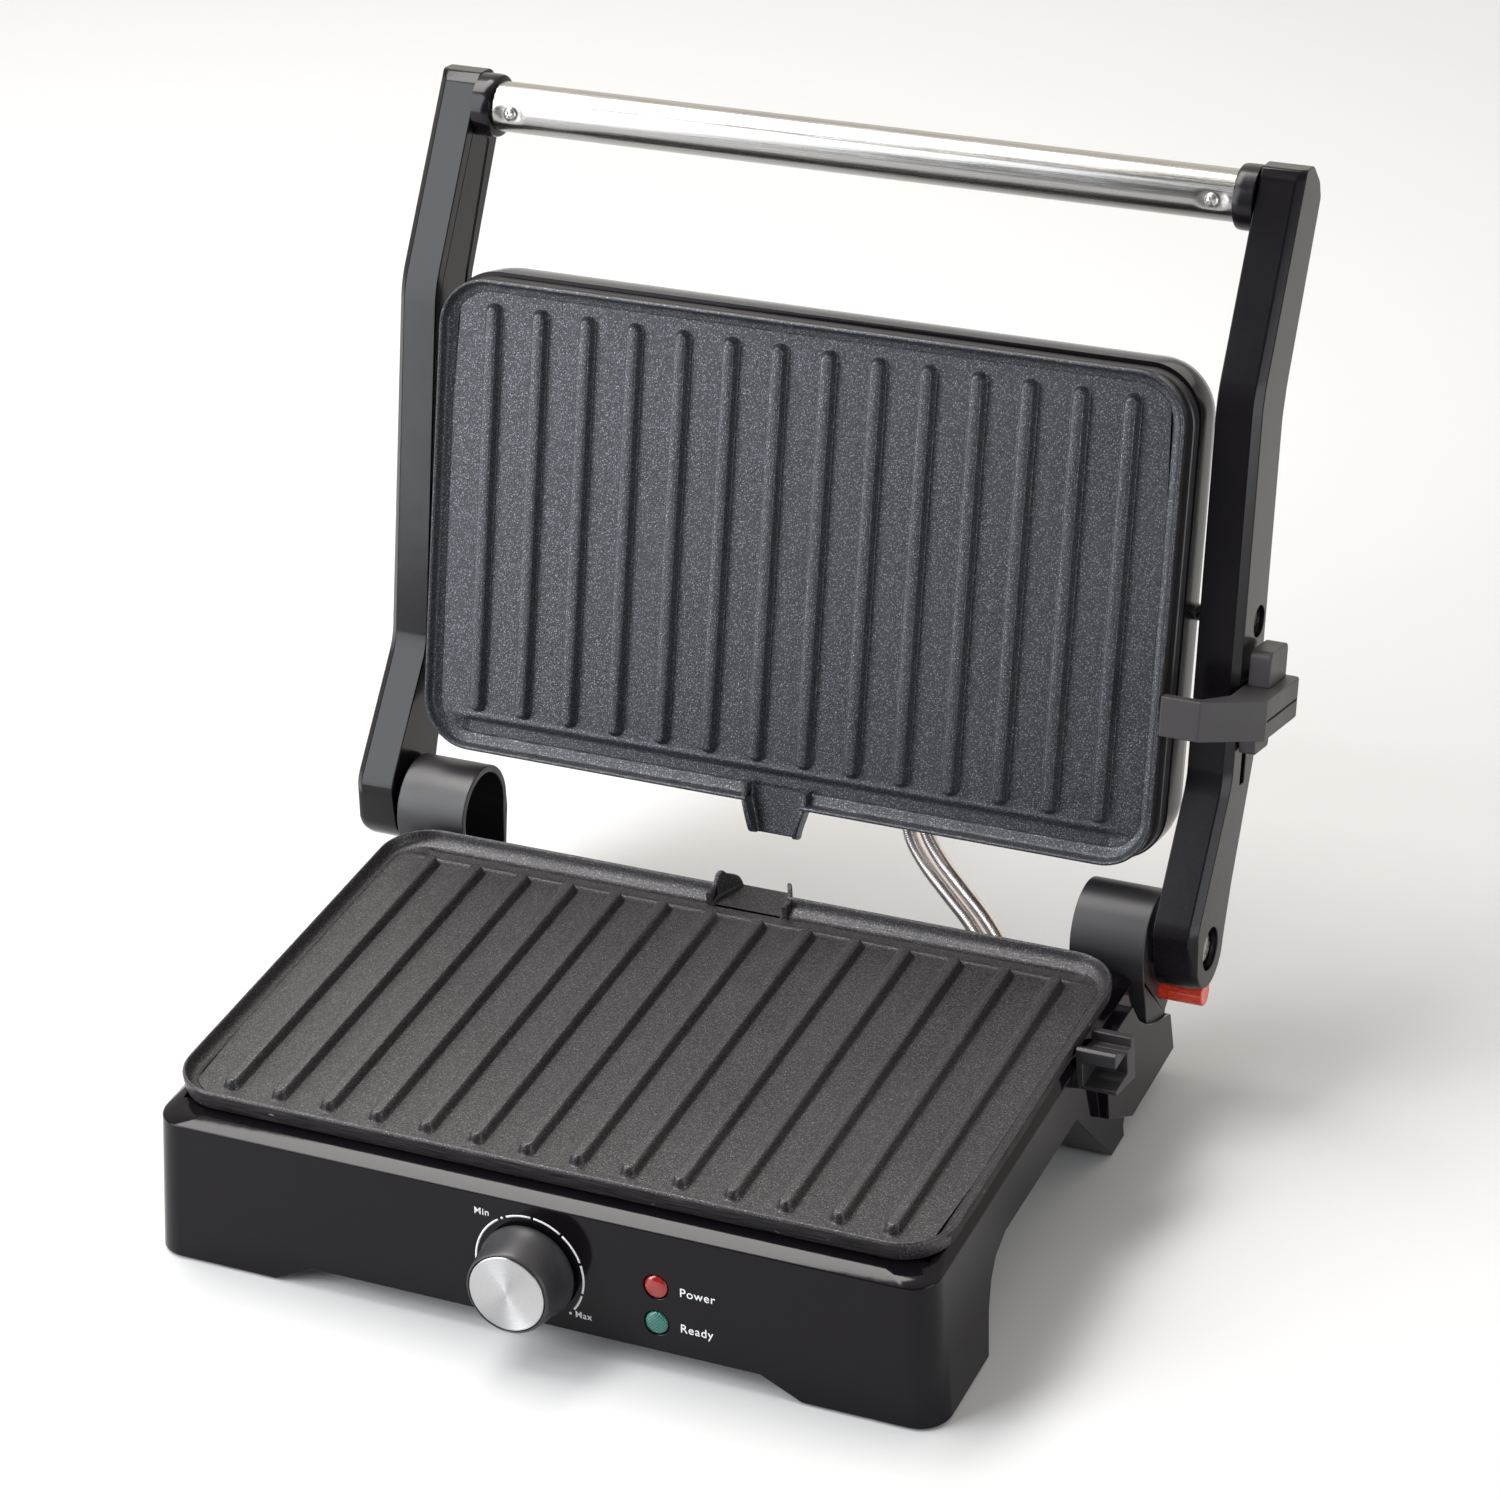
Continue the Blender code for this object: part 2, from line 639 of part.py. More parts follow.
def hinge_pins(frames):
    """A shoulder screw, a nut and a washer for each end of the hinge."""
    for label, side in (("left", -1), ("right", 1)):
        flip = (0, 0, 0) if side > 0 else (0, 0, math.pi)
        pin = turned((
            (PIN_RADIUS, 0.1480), (PIN_RADIUS, 0.1752), (0.0066, 0.1752), (0.0066, 0.1770),
            (0.0052, 0.1778),
        ), "X")
        name = f"hinge_pin_{label}"
        add_object(name, pin, bare_steel(name), frames.arms, (0, 0, 0), flip)
        name = f"hinge_nut_{label}"
        flats = math.cos(math.pi / 6)
        nut = turned_tube(0.0070, (PIN_RADIUS + GAP) / flats, 0.1520, 0.1562, "X", 6)
        add_object(name, nut, bare_steel(name), frames.arms, (0, 0, 0), flip)
        name = f"hinge_washer_{label}"
        ring = turned_tube(0.0095, PIN_RADIUS + GAP, PILLAR_OUTER_X + GAP, ARM_INNER_X - GAP, "X")
        add_object(name, ring, bare_steel(name), frames.arms, (0, 0, 0), flip)


def release_button(frames):
    """The red button, its spring and the cap that the spring pushes on."""
    red = material("release_button", (0.85, 0.10, 0.06), 0.28)
    button = turned((
        (0.0062, 0.1538), (0.0062, 0.1563), (BUTTON_RADIUS, 0.1563),
        (BUTTON_RADIUS, BUTTON_TIP_X - 0.0010), (BUTTON_RADIUS - 0.0010, BUTTON_TIP_X),
    ), "X")
    add_object("release_button", button, red, frames.button)
    turns, wire, radius = 4, 0.0005, 0.0042
    low, high = 0.1392, 0.1530
    coil = []
    for i in range(turns * 12 + 1):
        angle = 2 * math.pi * i / 12
        x = low + (high - low) * i / (turns * 12)
        coil.append((x, radius * math.cos(angle), radius * math.sin(angle)))
    add_object("release_spring", sweep(coil, wire, 6), bare_steel("release_spring"), frames.button)
    cap = turned(((0.0072, 0.1365), (0.0072, 0.1383)), "X")
    add_object("button_spring_cap", cap, satin_black("button_spring_cap"), frames.button)


def button_room(pillar, frames):
    """Cuts the button's guide hole and its spring chamber in the right pillar."""
    chamber = turned(((0.0075, 0.1200), (0.0075, 0.1566)), "X")
    cut(pillar, chamber, frames.button)
    guide = turned(((BUTTON_RADIUS + GAP, 0.1500), (BUTTON_RADIUS + GAP, 0.1700)), "X")
    cut(pillar, guide, frames.button)


def control_parts(frames):
    """Thermostat, spindle, dial, lenses and their lamps behind the panel."""
    switch = box((-0.0120, -0.0110, -0.0200), (0.0120, 0.0110, -0.0062))
    body = add_object("thermostat_body", switch, material("thermostat_body", (0.55, 0.50, 0.42), 0.6),
                      frames.dial)
    cut(body, turned(((0.0036, -0.0150), (0.0036, 0.0))), frames.dial)
    spindle = turned(((0.0030, -0.0140), (0.0030, 0.0100)))
    add_object("dial_spindle", spindle, bare_steel("dial_spindle"), frames.dial)
    knob = turned((
        (0.0178, 0.0012), (0.0184, 0.0020), (0.0180, 0.0060), (0.0166, 0.0170),
        (0.0160, 0.0184), (0.0156, 0.0186),
    ), "Z", 48)
    dial = add_object("dial_knob", knob, satin_black("dial_knob"), frames.dial)
    fin = box((-0.0205, -0.0016, 0.0014), (-0.0120, 0.0016, 0.0150))
    fuse(dial, fin, frames.dial, (0, 0, 0), (0, 0, math.radians(12)))
    cut(dial, turned(((0.0153, 0.0165), (0.0153, 0.0200)), "Z", 48), frames.dial)
    cut(dial, turned(((0.0033, -0.0010), (0.0033, 0.0110))), frames.dial)
    disc = turned(((0.0149, 0.0168), (0.0149, 0.0184), (0.0146, 0.0187)), "Z", 48)
    add_object("dial_disc", disc, material("dial_disc", (0.80, 0.80, 0.80), 0.25, 1.0), frames.dial)

    quarter = (math.pi / 2, 0, 0)
    lights = (
        ("power", POWER_Z, (0.75, 0.05, 0.04)),
        ("ready", READY_Z, (0.03, 0.42, 0.36)),
    )
    for label, z, colour in lights:
        lens = turned(((LENS_RADIUS, -0.0040), (LENS_RADIUS, -0.0004), (LENS_RADIUS * 0.8, 0.0004),
                       (LENS_RADIUS * 0.4, 0.0008)))
        finish = material(f"{label}_lens", colour, 0.15)
        place = (LENS_X, panel_y(z), z)
        add_object(f"{label}_lens", lens, finish, frames.base, place, quarter)
        lamp = turned(((0.0018, -0.0140), (0.0027, -0.0125), (0.0027, -0.0055), (0.0014, -0.0045)))
        glow = material(f"{label}_lamp", (0.9, 0.6, 0.4), 0.1)
        add_object(f"{label}_lamp", lamp, glow, frames.base, place, quarter)


def rear_electrics(frames):
    """The terminal block and the gland where the supply lead would enter."""
    block = box((GLAND_X - 0.016, 0.1650, -0.0560), (GLAND_X + 0.016, 0.1790, -0.0430))
    terminal = add_object("terminal_block", block, material("terminal_block", (0.8, 0.78, 0.72), 0.5),
                          frames.base)
    for i in range(3):
        x = GLAND_X - 0.010 + 0.010 * i
        cut(terminal, box((x - 0.003, 0.1600, -0.0530), (x + 0.003, 0.1850, -0.0470)), frames.base)
    gland = turned_ring((
        (0.0036, -0.0064), (0.0070, -0.0064), (0.0078, -0.0056), (0.0078, -0.0036),
        (0.0055, -0.0036), (0.0055, 0.0065), (0.0036, 0.0065),
    ))
    add_object("cord_gland", gland, rubber("cord_gland"), frames.base,
               (GLAND_X, 0.2200, GLAND_Z), (math.pi / 2, 0, 0))


def conduit_routes():
    """Routes of the two sprung conduits, from the upper half to the base."""
    corners = (
        (0.0455, 0.2440, 0.0260), (0.0455, 0.2425, 0.0150), (0.0470, 0.2405, 0.0040),
        (0.0540, 0.2375, -0.0060), (0.0650, 0.2325, -0.0145), (0.0765, 0.2265, -0.0220),
        (0.0860, 0.2200, -0.0300), (0.0915, 0.2140, -0.0390), (0.0930, 0.2110, -0.0490),
    )
    first = smooth_path(corners, 5)
    second = [point + CONDUIT_SPACING for point in first]
    return first, second


def conduits(frames):
    for name, route in zip(("conduit_left", "conduit_right"), conduit_routes()):
        add_object(name, sweep(route, CONDUIT_RADIUS, 10), bare_steel(name), frames.base)


# ---------------------------------------------------------------- arms and handle
def arm_outline(chamfer=0.0):
    """Side outline of an arm about the hinge axis, clockwise from the hinge end."""
    def here(y, z, shift=1.0):
        return (y - HINGE_Y + chamfer * shift, z - HINGE_Z)

    end = [(y, z) for y, z in arc((0, 0), 0.0163 - chamfer * 0.3, 345, 190, 8)]
    front = [
        here(0.1980, 0.0120), here(0.2360, 0.0510), here(0.2395, 0.0570), here(0.2420, 0.0660),
        here(0.2755, 0.1900), here(0.2790, 0.1990), here(0.3270, 0.2640),
    ]
    top = [here(0.3310, 0.2668, 0.3), here(0.3400, 0.2655, 0), here(0.3470, 0.2560, 0),
           here(0.3480, 0.2490, 0)]
    back = [here(0.3080, 0.1900, 0), here(0.3025, 0.1790, 0), here(0.2720, 0.0660, 0),
            here(0.2680, 0.0520, 0), here(0.2400, 0.0100, 0)]
    return end + front + top + back


def arm(name, frames, side):
    """One S-shaped arm: a hollow moulding, open on its inner face."""
    finish = gloss_black(name)
    levels = ((ARM_INNER_X, 0.0), (ARM_OUTER_X - ARM_CHAMFER, 0.0), (ARM_OUTER_X, ARM_CHAMFER))
    rings = [[(side * x, y, z) for y, z in arm_outline(lean)] for x, lean in levels]
    made = add_object(name, loft(rings), finish, frames.arms)
    rebate_low, rebate_high = sorted((side * 0.1600, side * (ARM_INNER_X + 0.0020)))
    cut(made, prism_x(cover_plan(0.0), rebate_low, rebate_high), frames.arms)
    hollow_low, hollow_high = sorted((side * 0.1640, side * 0.1772))
    for hollow in arm_hollows():
        cut(made, prism_x(hollow, hollow_low, hollow_high), frames.arms)
    low, high = sorted((side * 0.1500, side * 0.1900))
    cut(made, turned(((PIN_RADIUS + GAP, low), (PIN_RADIUS + GAP, high)), "X"), frames.arms)
    recess_low, recess_high = sorted((side * 0.1748, side * 0.1850))
    cut(made, turned(((0.0085, recess_low), (0.0085, recess_high)), "X", 32), frames.arms)
    swing = frames.float_point
    cut(made, turned(((FLOAT_BORE, low), (FLOAT_BORE, high)), "X"), frames.base, swing)
    cut(made, turned(((0.0062, recess_low), (0.0062, recess_high)), "X", 32), frames.base, swing)
    return made


def cover_plan(shrink):
    """Outline of the thin plate that closes an arm's inner face."""
    points = [(y - HINGE_Y, z - HINGE_Z) for y, z in (
        (0.2420, 0.0480), (0.2455, 0.0640), (0.2790, 0.1885), (0.2820, 0.1965), (0.3220, 0.2500),
        (0.3330, 0.2380), (0.3040, 0.1920), (0.2985, 0.1800), (0.2690, 0.0690), (0.2640, 0.0540),
    )]
    return inset(points, shrink)


def arm_hollows():
    """Rooms inside an arm, on both sides of the float pivot's boss."""
    rooms = (
        ((0.2455, 0.0560), (0.2555, 0.0945), (0.2735, 0.0930), (0.2650, 0.0600)),
        ((0.2625, 0.1180), (0.2805, 0.1860), (0.2985, 0.1830), (0.2810, 0.1180)),
        ((0.2850, 0.1960), (0.3180, 0.2400), (0.3290, 0.2360), (0.3030, 0.1930)),
    )
    return [[(y - HINGE_Y, z - HINGE_Z) for y, z in room] for room in rooms]


def arm_cover(name, frames, side):
    low, high = sorted((side * ARM_INNER_X, side * (ARM_INNER_X + 0.0010)))
    plate = add_object(name, prism_x(cover_plan(GAP), low, high), satin_black(name), frames.arms)
    reach_low, reach_high = sorted((side * 0.1500, side * 0.1900))
    hole = turned(((0.0042, reach_low), (0.0042, reach_high)), "X")
    cut(plate, hole, frames.base, frames.float_point)


def handle(frames):
    """Steel tube between two collars, held by a screw at each end."""
    place = (0, HANDLE_Y - HINGE_Y, HANDLE_Z - HINGE_Z)
    tube = turned_tube(HANDLE_RADIUS, HANDLE_RADIUS - HANDLE_WALL, -HANDLE_HALF, HANDLE_HALF, "X", 32)
    grip = add_object("handle_tube", tube, bare_steel("handle_tube"), frames.arms, place)
    facing = (math.radians(90 - 8), 0, 0)
    screw_x = 0.1462
    for label, side in (("left", -1), ("right", 1)):
        flip = (0, 0, 0) if side > 0 else (0, 0, math.pi)
        name = f"handle_collar_{label}"
        collar = turned((
            (0.0088, 0.1350), (0.0088, HANDLE_HALF + GAP), (0.0121, HANDLE_HALF + GAP),
            (0.0125, 0.1560), (0.0125, ARM_INNER_X - GAP),
        ), "X", 32)
        plug = add_object(name, collar, satin_black(name), frames.arms, place, flip)
        at = (side * screw_x, place[1], place[2])
        pilot = turned(((0.0018, 0.0), (0.0018, 0.0150)))
        cut(plug, pilot, frames.arms, at, facing)
        cut(grip, turned(((0.0020, 0.0050), (0.0020, 0.0150))), frames.arms, at, facing)
        screw = turned((
            (0.0011, 0.0015), (0.0015, 0.0022), (0.0015, 0.0102), (0.0029, 0.0102),
            (0.0029, 0.0110), (0.0019, 0.0117),
        ))
        name = f"handle_screw_{label}"
        add_object(name, screw, bare_steel(name), frames.arms, at, facing)


def float_pins(frames):
    """The screws that the upper half swings on."""
    for label, side in (("left", -1), ("right", 1)):
        flip = (0, 0, 0) if side > 0 else (0, 0, math.pi)
        pin = turned((
            (0.0034, 0.1455), (0.0034, 0.1752), (0.0055, 0.1752), (0.0055, 0.1768),
            (0.0042, 0.1776),
        ), "X")
        name = f"float_pin_{label}"
        add_object(name, pin, bare_steel(name), frames.base, frames.float_point, flip)


def slider_bar_plan():
    """Plan of the slider's bar, as (x, y) in the slider's own frame."""
    beside = ARM_OUTER_X + 0.0006
    return (
        (0.1590, -0.0269), (0.1745, -0.0269), (0.1955, -0.0114), (0.1955, 0.0300),
        (beside, 0.0300), (beside, -0.0105), (0.1730, -0.0222), (0.1590, -0.0222),
    )


def height_slider(frames):
    """The slider on the right arm: an outer block whose blade crosses the arm's front."""
    half = SLIDER_HEIGHT / 2
    plan = slider_bar_plan()
    bar = loft([[(x, y, z) for x, y in plan] for z in (-half, half)])
    slider = add_object("height_slider", bar, satin_black("height_slider"), frames.slider)
    tab = prism_x(thumb_tab_outline(), ARM_OUTER_X + 0.0020, 0.1905)
    fuse(slider, tab, frames.slider)
    foot = prism_x(
        ((0.0040, -0.0190), (0.0040, 0.0), (0.0240, 0.0), (0.0240, -0.0190)),
        ARM_OUTER_X + 0.0006, 0.1870,
    )
    fuse(slider, foot, frames.slider)
    tongue = box((SLOT_FLOOR_X + 0.0020, SLOT_Y - 0.0022, -0.0060), (0.1840, SLOT_Y + 0.0022, 0.0060))
    fuse(slider, tongue, frames.slider)


def thumb_tab_outline():
    """Side outline of the thumb tab that stands on the slider."""
    return ((0.0060, 0.0), (0.0060, 0.0190), (0.0085, 0.0215), (0.0245, 0.0215),
            (0.0270, 0.0190), (0.0270, 0.0))


def slider_slot(right_arm, frames):
    """The slot that the slider's tongue runs in."""
    room = box((SLOT_FLOOR_X, SLOT_Y - 0.0025, -0.0340), (0.1900, SLOT_Y + 0.0025, 0.0170))
    cut(right_arm, room, frames.slider)


# ---------------------------------------------------------------- upper half
def housing_y(along):
    """Distance along the upper plate, as the housing frame's y."""
    return along - FLOAT_ALONG


def housing_z(behind):
    """Distance behind the upper plate's rim, as the housing frame's z."""
    return FLOAT_BEHIND - behind


def upper_frame(frames):
    """The black surround between the upper plate and its cover."""
    low, high = housing_y(0.0006), housing_y(PLATE_DEPTH - 0.0006)
    ring = add_object("upper_frame", rectangle_loft((
        (housing_z(0.0132), 0.1566, low, high, 0.020),
        (housing_z(0.0084), 0.1560, low + 0.0006, high - 0.0006, 0.020),
    )), satin_black("upper_frame"), frames.housing)
    edge = 0.0055
    cut(ring, rectangle_loft((
        (housing_z(0.0160), 0.1566 - edge, low + edge, high - edge, 0.0145),
        (housing_z(0.0060), 0.1566 - edge, low + edge, high - edge, 0.0145),
    )), frames.housing)


def upper_cover(frames):
    """The gloss cover behind the upper plate, a shallow dished shell."""
    low, high = housing_y(-0.0004), housing_y(PLATE_DEPTH + 0.0012)
    sections = (
        (0.0135, 0.1572, 0.0000, 0.021), (0.0280, 0.1568, 0.0004, 0.021),
        (0.0385, 0.1548, 0.0024, 0.021), (0.0430, 0.1490, 0.0080, 0.019),
        (0.0455, 0.1400, 0.0170, 0.016), (0.0465, 0.1200, 0.0370, 0.012),
    )
    outer = rectangle_loft([
        (housing_z(n), half, low + edge, high - edge, corner) for n, half, edge, corner in sections
    ])
    cover = add_object("upper_cover", outer, gloss_black("upper_cover"), frames.housing)
    wall = 0.0020
    inner = []
    for i, (n, half, edge, corner) in enumerate(((0.0100, 0.1572, 0.0, 0.021),) + sections[1:]):
        behind = n if i < 2 else n - wall
        inner.append((housing_z(behind), half - wall, low + edge + wall, high - edge - wall,
                      corner - wall))
    cut(cover, rectangle_loft(inner), frames.housing)
    pin_room = turned(((FLOAT_BORE, -0.2000), (FLOAT_BORE, 0.2000)), "X")
    cut(cover, pin_room, frames.base, frames.float_point)
    for route in conduit_routes():
        cut(cover, sweep(route[:9], CONDUIT_RADIUS + 2 * GAP, 12), frames.base)


def upper_half(frames):
    half_turn = (0, 0, math.pi)
    place = (0, housing_y(PLATE_DEPTH), FLOAT_BEHIND)
    grill_plate("upper_plate", frames.housing, place, half_turn, 0.0008, UPPER_SPOUT)
    upper_frame(frames)
    upper_cover(frames)
    heating_element("upper_element", frames.housing, -0.0128, place, half_turn)
    reflector("upper_reflector", frames.housing, -0.0100, -0.0200, place, half_turn)
    fuse_body = turned(((0.0016, -0.0090), (0.0026, -0.0080), (0.0026, 0.0080), (0.0016, 0.0090)), "X")
    add_object("thermal_fuse", fuse_body, bare_steel("thermal_fuse"), frames.housing,
               (-0.050, 0.030, housing_z(0.0260)))


def lower_half(frames):
    grill_plate("lower_plate", frames.base, (0, 0, 0), (0, 0, 0), 0.0022, LOWER_SPOUT)
    heating_element("lower_element", frames.base, -0.0140)
    reflector("lower_reflector", frames.base, -0.0115, -0.0262)
    base_shell(frames)
    bottom_cover(frames)
    feet(frames)
    control_parts(frames)
    rear_electrics(frames)


def main():
    clear_scene()
    frames = Frames()
    bpy.context.view_layer.update()
    lower_half(frames)
    hinge_pillar("hinge_pillar_left", frames, -1)
    right_pillar = hinge_pillar("hinge_pillar_right", frames, 1)
    button_room(right_pillar, frames)
    hinge_pins(frames)
    release_button(frames)
    arm("arm_left", frames, -1)
    right_arm = arm("arm_right", frames, 1)
    slider_slot(right_arm, frames)
    arm_cover("arm_cover_left", frames, -1)
    arm_cover("arm_cover_right", frames, 1)
    handle(frames)
    float_pins(frames)
    height_slider(frames)
    upper_half(frames)
    conduits(frames)


main()
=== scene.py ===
import math

import bmesh
import bpy
import numpy as np
from mathutils import Matrix, Vector


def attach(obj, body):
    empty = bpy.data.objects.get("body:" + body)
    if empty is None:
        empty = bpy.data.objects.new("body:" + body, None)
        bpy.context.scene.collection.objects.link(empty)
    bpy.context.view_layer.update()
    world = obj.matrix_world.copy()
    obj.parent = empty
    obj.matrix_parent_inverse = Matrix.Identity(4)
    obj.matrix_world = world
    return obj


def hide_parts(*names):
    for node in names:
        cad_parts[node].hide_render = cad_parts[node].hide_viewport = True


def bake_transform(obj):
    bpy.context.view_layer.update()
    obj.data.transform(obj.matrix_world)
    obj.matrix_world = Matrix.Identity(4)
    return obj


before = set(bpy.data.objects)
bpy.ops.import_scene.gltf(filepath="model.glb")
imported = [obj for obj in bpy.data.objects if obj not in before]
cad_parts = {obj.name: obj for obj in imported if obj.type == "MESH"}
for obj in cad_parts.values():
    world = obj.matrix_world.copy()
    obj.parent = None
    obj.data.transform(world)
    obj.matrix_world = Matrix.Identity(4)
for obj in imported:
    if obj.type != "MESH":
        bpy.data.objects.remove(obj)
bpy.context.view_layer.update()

# ---------------------------------------------------------------- dimensions, metres
MM = 0.001
PLATE_WIDTH = 0.31
PLATE_DEPTH = 0.1917
PLATE_WALL = 0.008
PLATE_CORNER = 0.02
PLATE_FLOOR = -0.005
CHANNEL_FLOOR = -0.0068
RIB_COUNT = 14
RIB_PITCH = 0.02045
RIB_FRONT = 0.0095
RIB_BACK = 0.1765
RIB_TOP = -0.0012
RIB_HALF = 0.0038
CHANNEL_HALF_LENGTH = 0.1405
CHANNEL_HALF_WIDTH = 0.0049
CHANNEL_END_RADIUS = 0.0044
CHANNEL_Y = 0.1834
SPOUT_HALF = 0.0152
UPPER_SPOUT_HALF = 0.0118
SPOUT_WALL = 0.002
BASE_TOP_HALF = 0.156
BASE_FOOT_HALF = 0.1597
BASE_CREASE_Z = -0.011
BASE_LEDGE_Z = -0.0083
BASE_BOTTOM_Z = -0.0673
BASE_CREASE_Y = -0.009
BASE_FOOT_Y = -0.0158
BASE_BACK_Y = 0.2228
COVER_LOW_Z = -0.0597
HINGE_Y = 0.215
HINGE_Z = -0.0045
ARM_INNER_X = 0.1627
ARM_OUTER_X = 0.18
ARM_CHAMFER = 0.0032
DRUM_RADIUS = 0.0195
DRUM_HOLLOW_RADIUS = 0.0165
DRUM_HOLLOW_LOW_Z = -0.027
HINGE_BORE_RADIUS = 0.0043
PILLAR_INNER_X = 0.13
PILLAR_OUTER_X = 0.16
FLOAT_Y = 0.27418
FLOAT_Z = 0.10673
FLOAT_ALONG = 0.0958
FLOAT_BEHIND = 0.0345
OPEN_ANGLE = 73.29
HANDLE_Y = 0.331
HANDLE_Z = 0.2537
HANDLE_RADIUS = 0.01
HANDLE_HALF = 0.1542
SCREW_X = 0.1462
SLIDER_HEIGHT = 0.0155
BUTTON_Y = 0.2169
BUTTON_Z = -0.0269
PANEL_SLOPE = 6.8
DIAL_Z = -0.0378
LENS_X = 0.0503
POWER_Z = -0.0333
READY_Z = -0.0481
LENS_RADIUS = 0.0045
RING_RADIUS = 0.0216
INK_LOW = 0.00002
INK_HIGH = 0.0001
CONDUIT_RADIUS = 0.0029
CONDUIT_HOLE_RADIUS = 0.0035
CONDUIT_PITCH = 0.00092
CONDUIT_RIDGE = 0.00015


def mm(*rows):
    """Rows of millimetres as rows of metres."""
    return [tuple(value * MM for value in row) for row in rows]


def panel_y(z):
    """Front face of the base at a height."""
    t = (z - BASE_CREASE_Z) / (BASE_BOTTOM_Z - BASE_CREASE_Z)
    return BASE_CREASE_Y + t * (BASE_FOOT_Y - BASE_CREASE_Y)


BASE = Matrix.Translation((-0.0075, -0.1565, 0.068))


def placed(x, y, z, tilt=None):
    """A place in the lower plate's frame, tilted about X by an angle in degrees."""
    place = BASE @ Matrix.Translation((x, y, z))
    return place if tilt is None else place @ Matrix.Rotation(math.radians(tilt), 4, "X")


ARMS = placed(0, HINGE_Y, HINGE_Z)
FLOAT_PIN = placed(0, FLOAT_Y, FLOAT_Z)
HOUSING = placed(0, FLOAT_Y, FLOAT_Z, OPEN_ANGLE)
UPPER = HOUSING @ Matrix.Translation((0, PLATE_DEPTH - FLOAT_ALONG, FLOAT_BEHIND))
UPPER = UPPER @ Matrix.Rotation(math.pi, 4, "Z")
SLIDER = placed(0, 0.2463, 0.0843, -15.7)
DIAL = placed(0, panel_y(DIAL_Z), DIAL_Z, 90 - PANEL_SLOPE)
BUTTON = placed(0, BUTTON_Y, BUTTON_Z)
HANDLE = placed(0, HANDLE_Y, HANDLE_Z)


# ---------------------------------------------------------------- materials
class Paint:
    """A node material under construction."""

    def __init__(self, name, colour, roughness, metallic=0.0, ior=1.5, **sockets):
        self.made = bpy.data.materials.new(name)
        self.made.use_nodes = True
        self.nodes = self.made.node_tree.nodes
        self.links = self.made.node_tree.links
        self.shader = self.nodes["Principled BSDF"]
        self.put("Base Color", (*colour, 1.0))
        self.put("Roughness", roughness)
        self.put("Metallic", metallic)
        self.put("IOR", ior)
        for label, value in sockets.items():
            self.put(label.replace("_", " "), value)
        self.coords = self.nodes.new("ShaderNodeTexCoord").outputs["Object"]

    def put(self, label, value):
        self.shader.inputs[label].default_value = value

    def scaled(self, scale):
        """Object coordinates with a scale for each axis."""
        mapping = self.nodes.new("ShaderNodeMapping")
        mapping.inputs["Scale"].default_value = scale
        self.links.new(self.coords, mapping.inputs["Vector"])
        return mapping.outputs["Vector"]

    def noise(self, scale, detail, rough=0.5, stretch=None):
        made = self.nodes.new("ShaderNodeTexNoise")
        made.inputs["Scale"].default_value = scale
        made.inputs["Detail"].default_value = detail
        made.inputs["Roughness"].default_value = rough
        self.links.new(self.scaled(stretch) if stretch else self.coords, made.inputs["Vector"])
        return made.outputs["Fac"]

    def cells(self, scale):
        made = self.nodes.new("ShaderNodeTexVoronoi")
        made.inputs["Scale"].default_value = scale
        self.links.new(self.coords, made.inputs["Vector"])
        return made.outputs["Distance"]

    def span(self, value, low, high, out_low=0.0, out_high=1.0, smooth=False):
        """Maps a value's range to another range."""
        made = self.nodes.new("ShaderNodeMapRange")
        made.interpolation_type = "SMOOTHSTEP" if smooth else "LINEAR"
        for label, number in (("From Min", low), ("From Max", high), ("To Min", out_low), ("To Max", out_high)):
            made.inputs[label].default_value = number
        self.links.new(value, made.inputs["Value"])
        return made.outputs["Result"]

    def maths(self, operation, a, b):
        made = self.nodes.new("ShaderNodeMath")
        made.operation = operation
        for slot, value in ((0, a), (1, b)):
            if isinstance(value, (int, float)):
                made.inputs[slot].default_value = value
            else:
                self.links.new(value, made.inputs[slot])
        return made.outputs["Value"]

    def blend(self, factor, low, high):
        """A colour between two colours."""
        made = self.nodes.new("ShaderNodeMix")
        made.data_type = "RGBA"
        for slot, colour in ((6, low), (7, high)):
            if isinstance(colour, tuple):
                made.inputs[slot].default_value = (*colour, 1.0)
            else:
                self.links.new(colour, made.inputs[slot])
        self.links.new(factor, made.inputs[0])
        return made.outputs[2]

    def colour(self, value):
        self.links.new(value, self.shader.inputs["Base Color"])

    def tones(self, value, low, high, dark, bright):
        """Colours the surface from dark to bright over a value's range."""
        self.colour(self.blend(self.span(value, low, high), dark, bright))

    def roughness(self, value):
        self.links.new(value, self.shader.inputs["Roughness"])

    def metallic(self, value):
        self.links.new(value, self.shader.inputs["Metallic"])

    def bump(self, value, strength, distance):
        made = self.nodes.new("ShaderNodeBump")
        made.inputs["Strength"].default_value = strength
        made.inputs["Distance"].default_value = distance
        self.links.new(value, made.inputs["Height"])
        previous = self.shader.inputs["Normal"]
        if previous.is_linked:
            self.links.new(previous.links[0].from_socket, made.inputs["Normal"])
        self.links.new(made.outputs["Normal"], previous)

    def split(self):
        """The object coordinates as x, y and z."""
        made = self.nodes.new("ShaderNodeSeparateXYZ")
        self.links.new(self.coords, made.inputs[0])
        return made.outputs


def shade(colour, factor):
    return tuple(c * factor for c in colour)


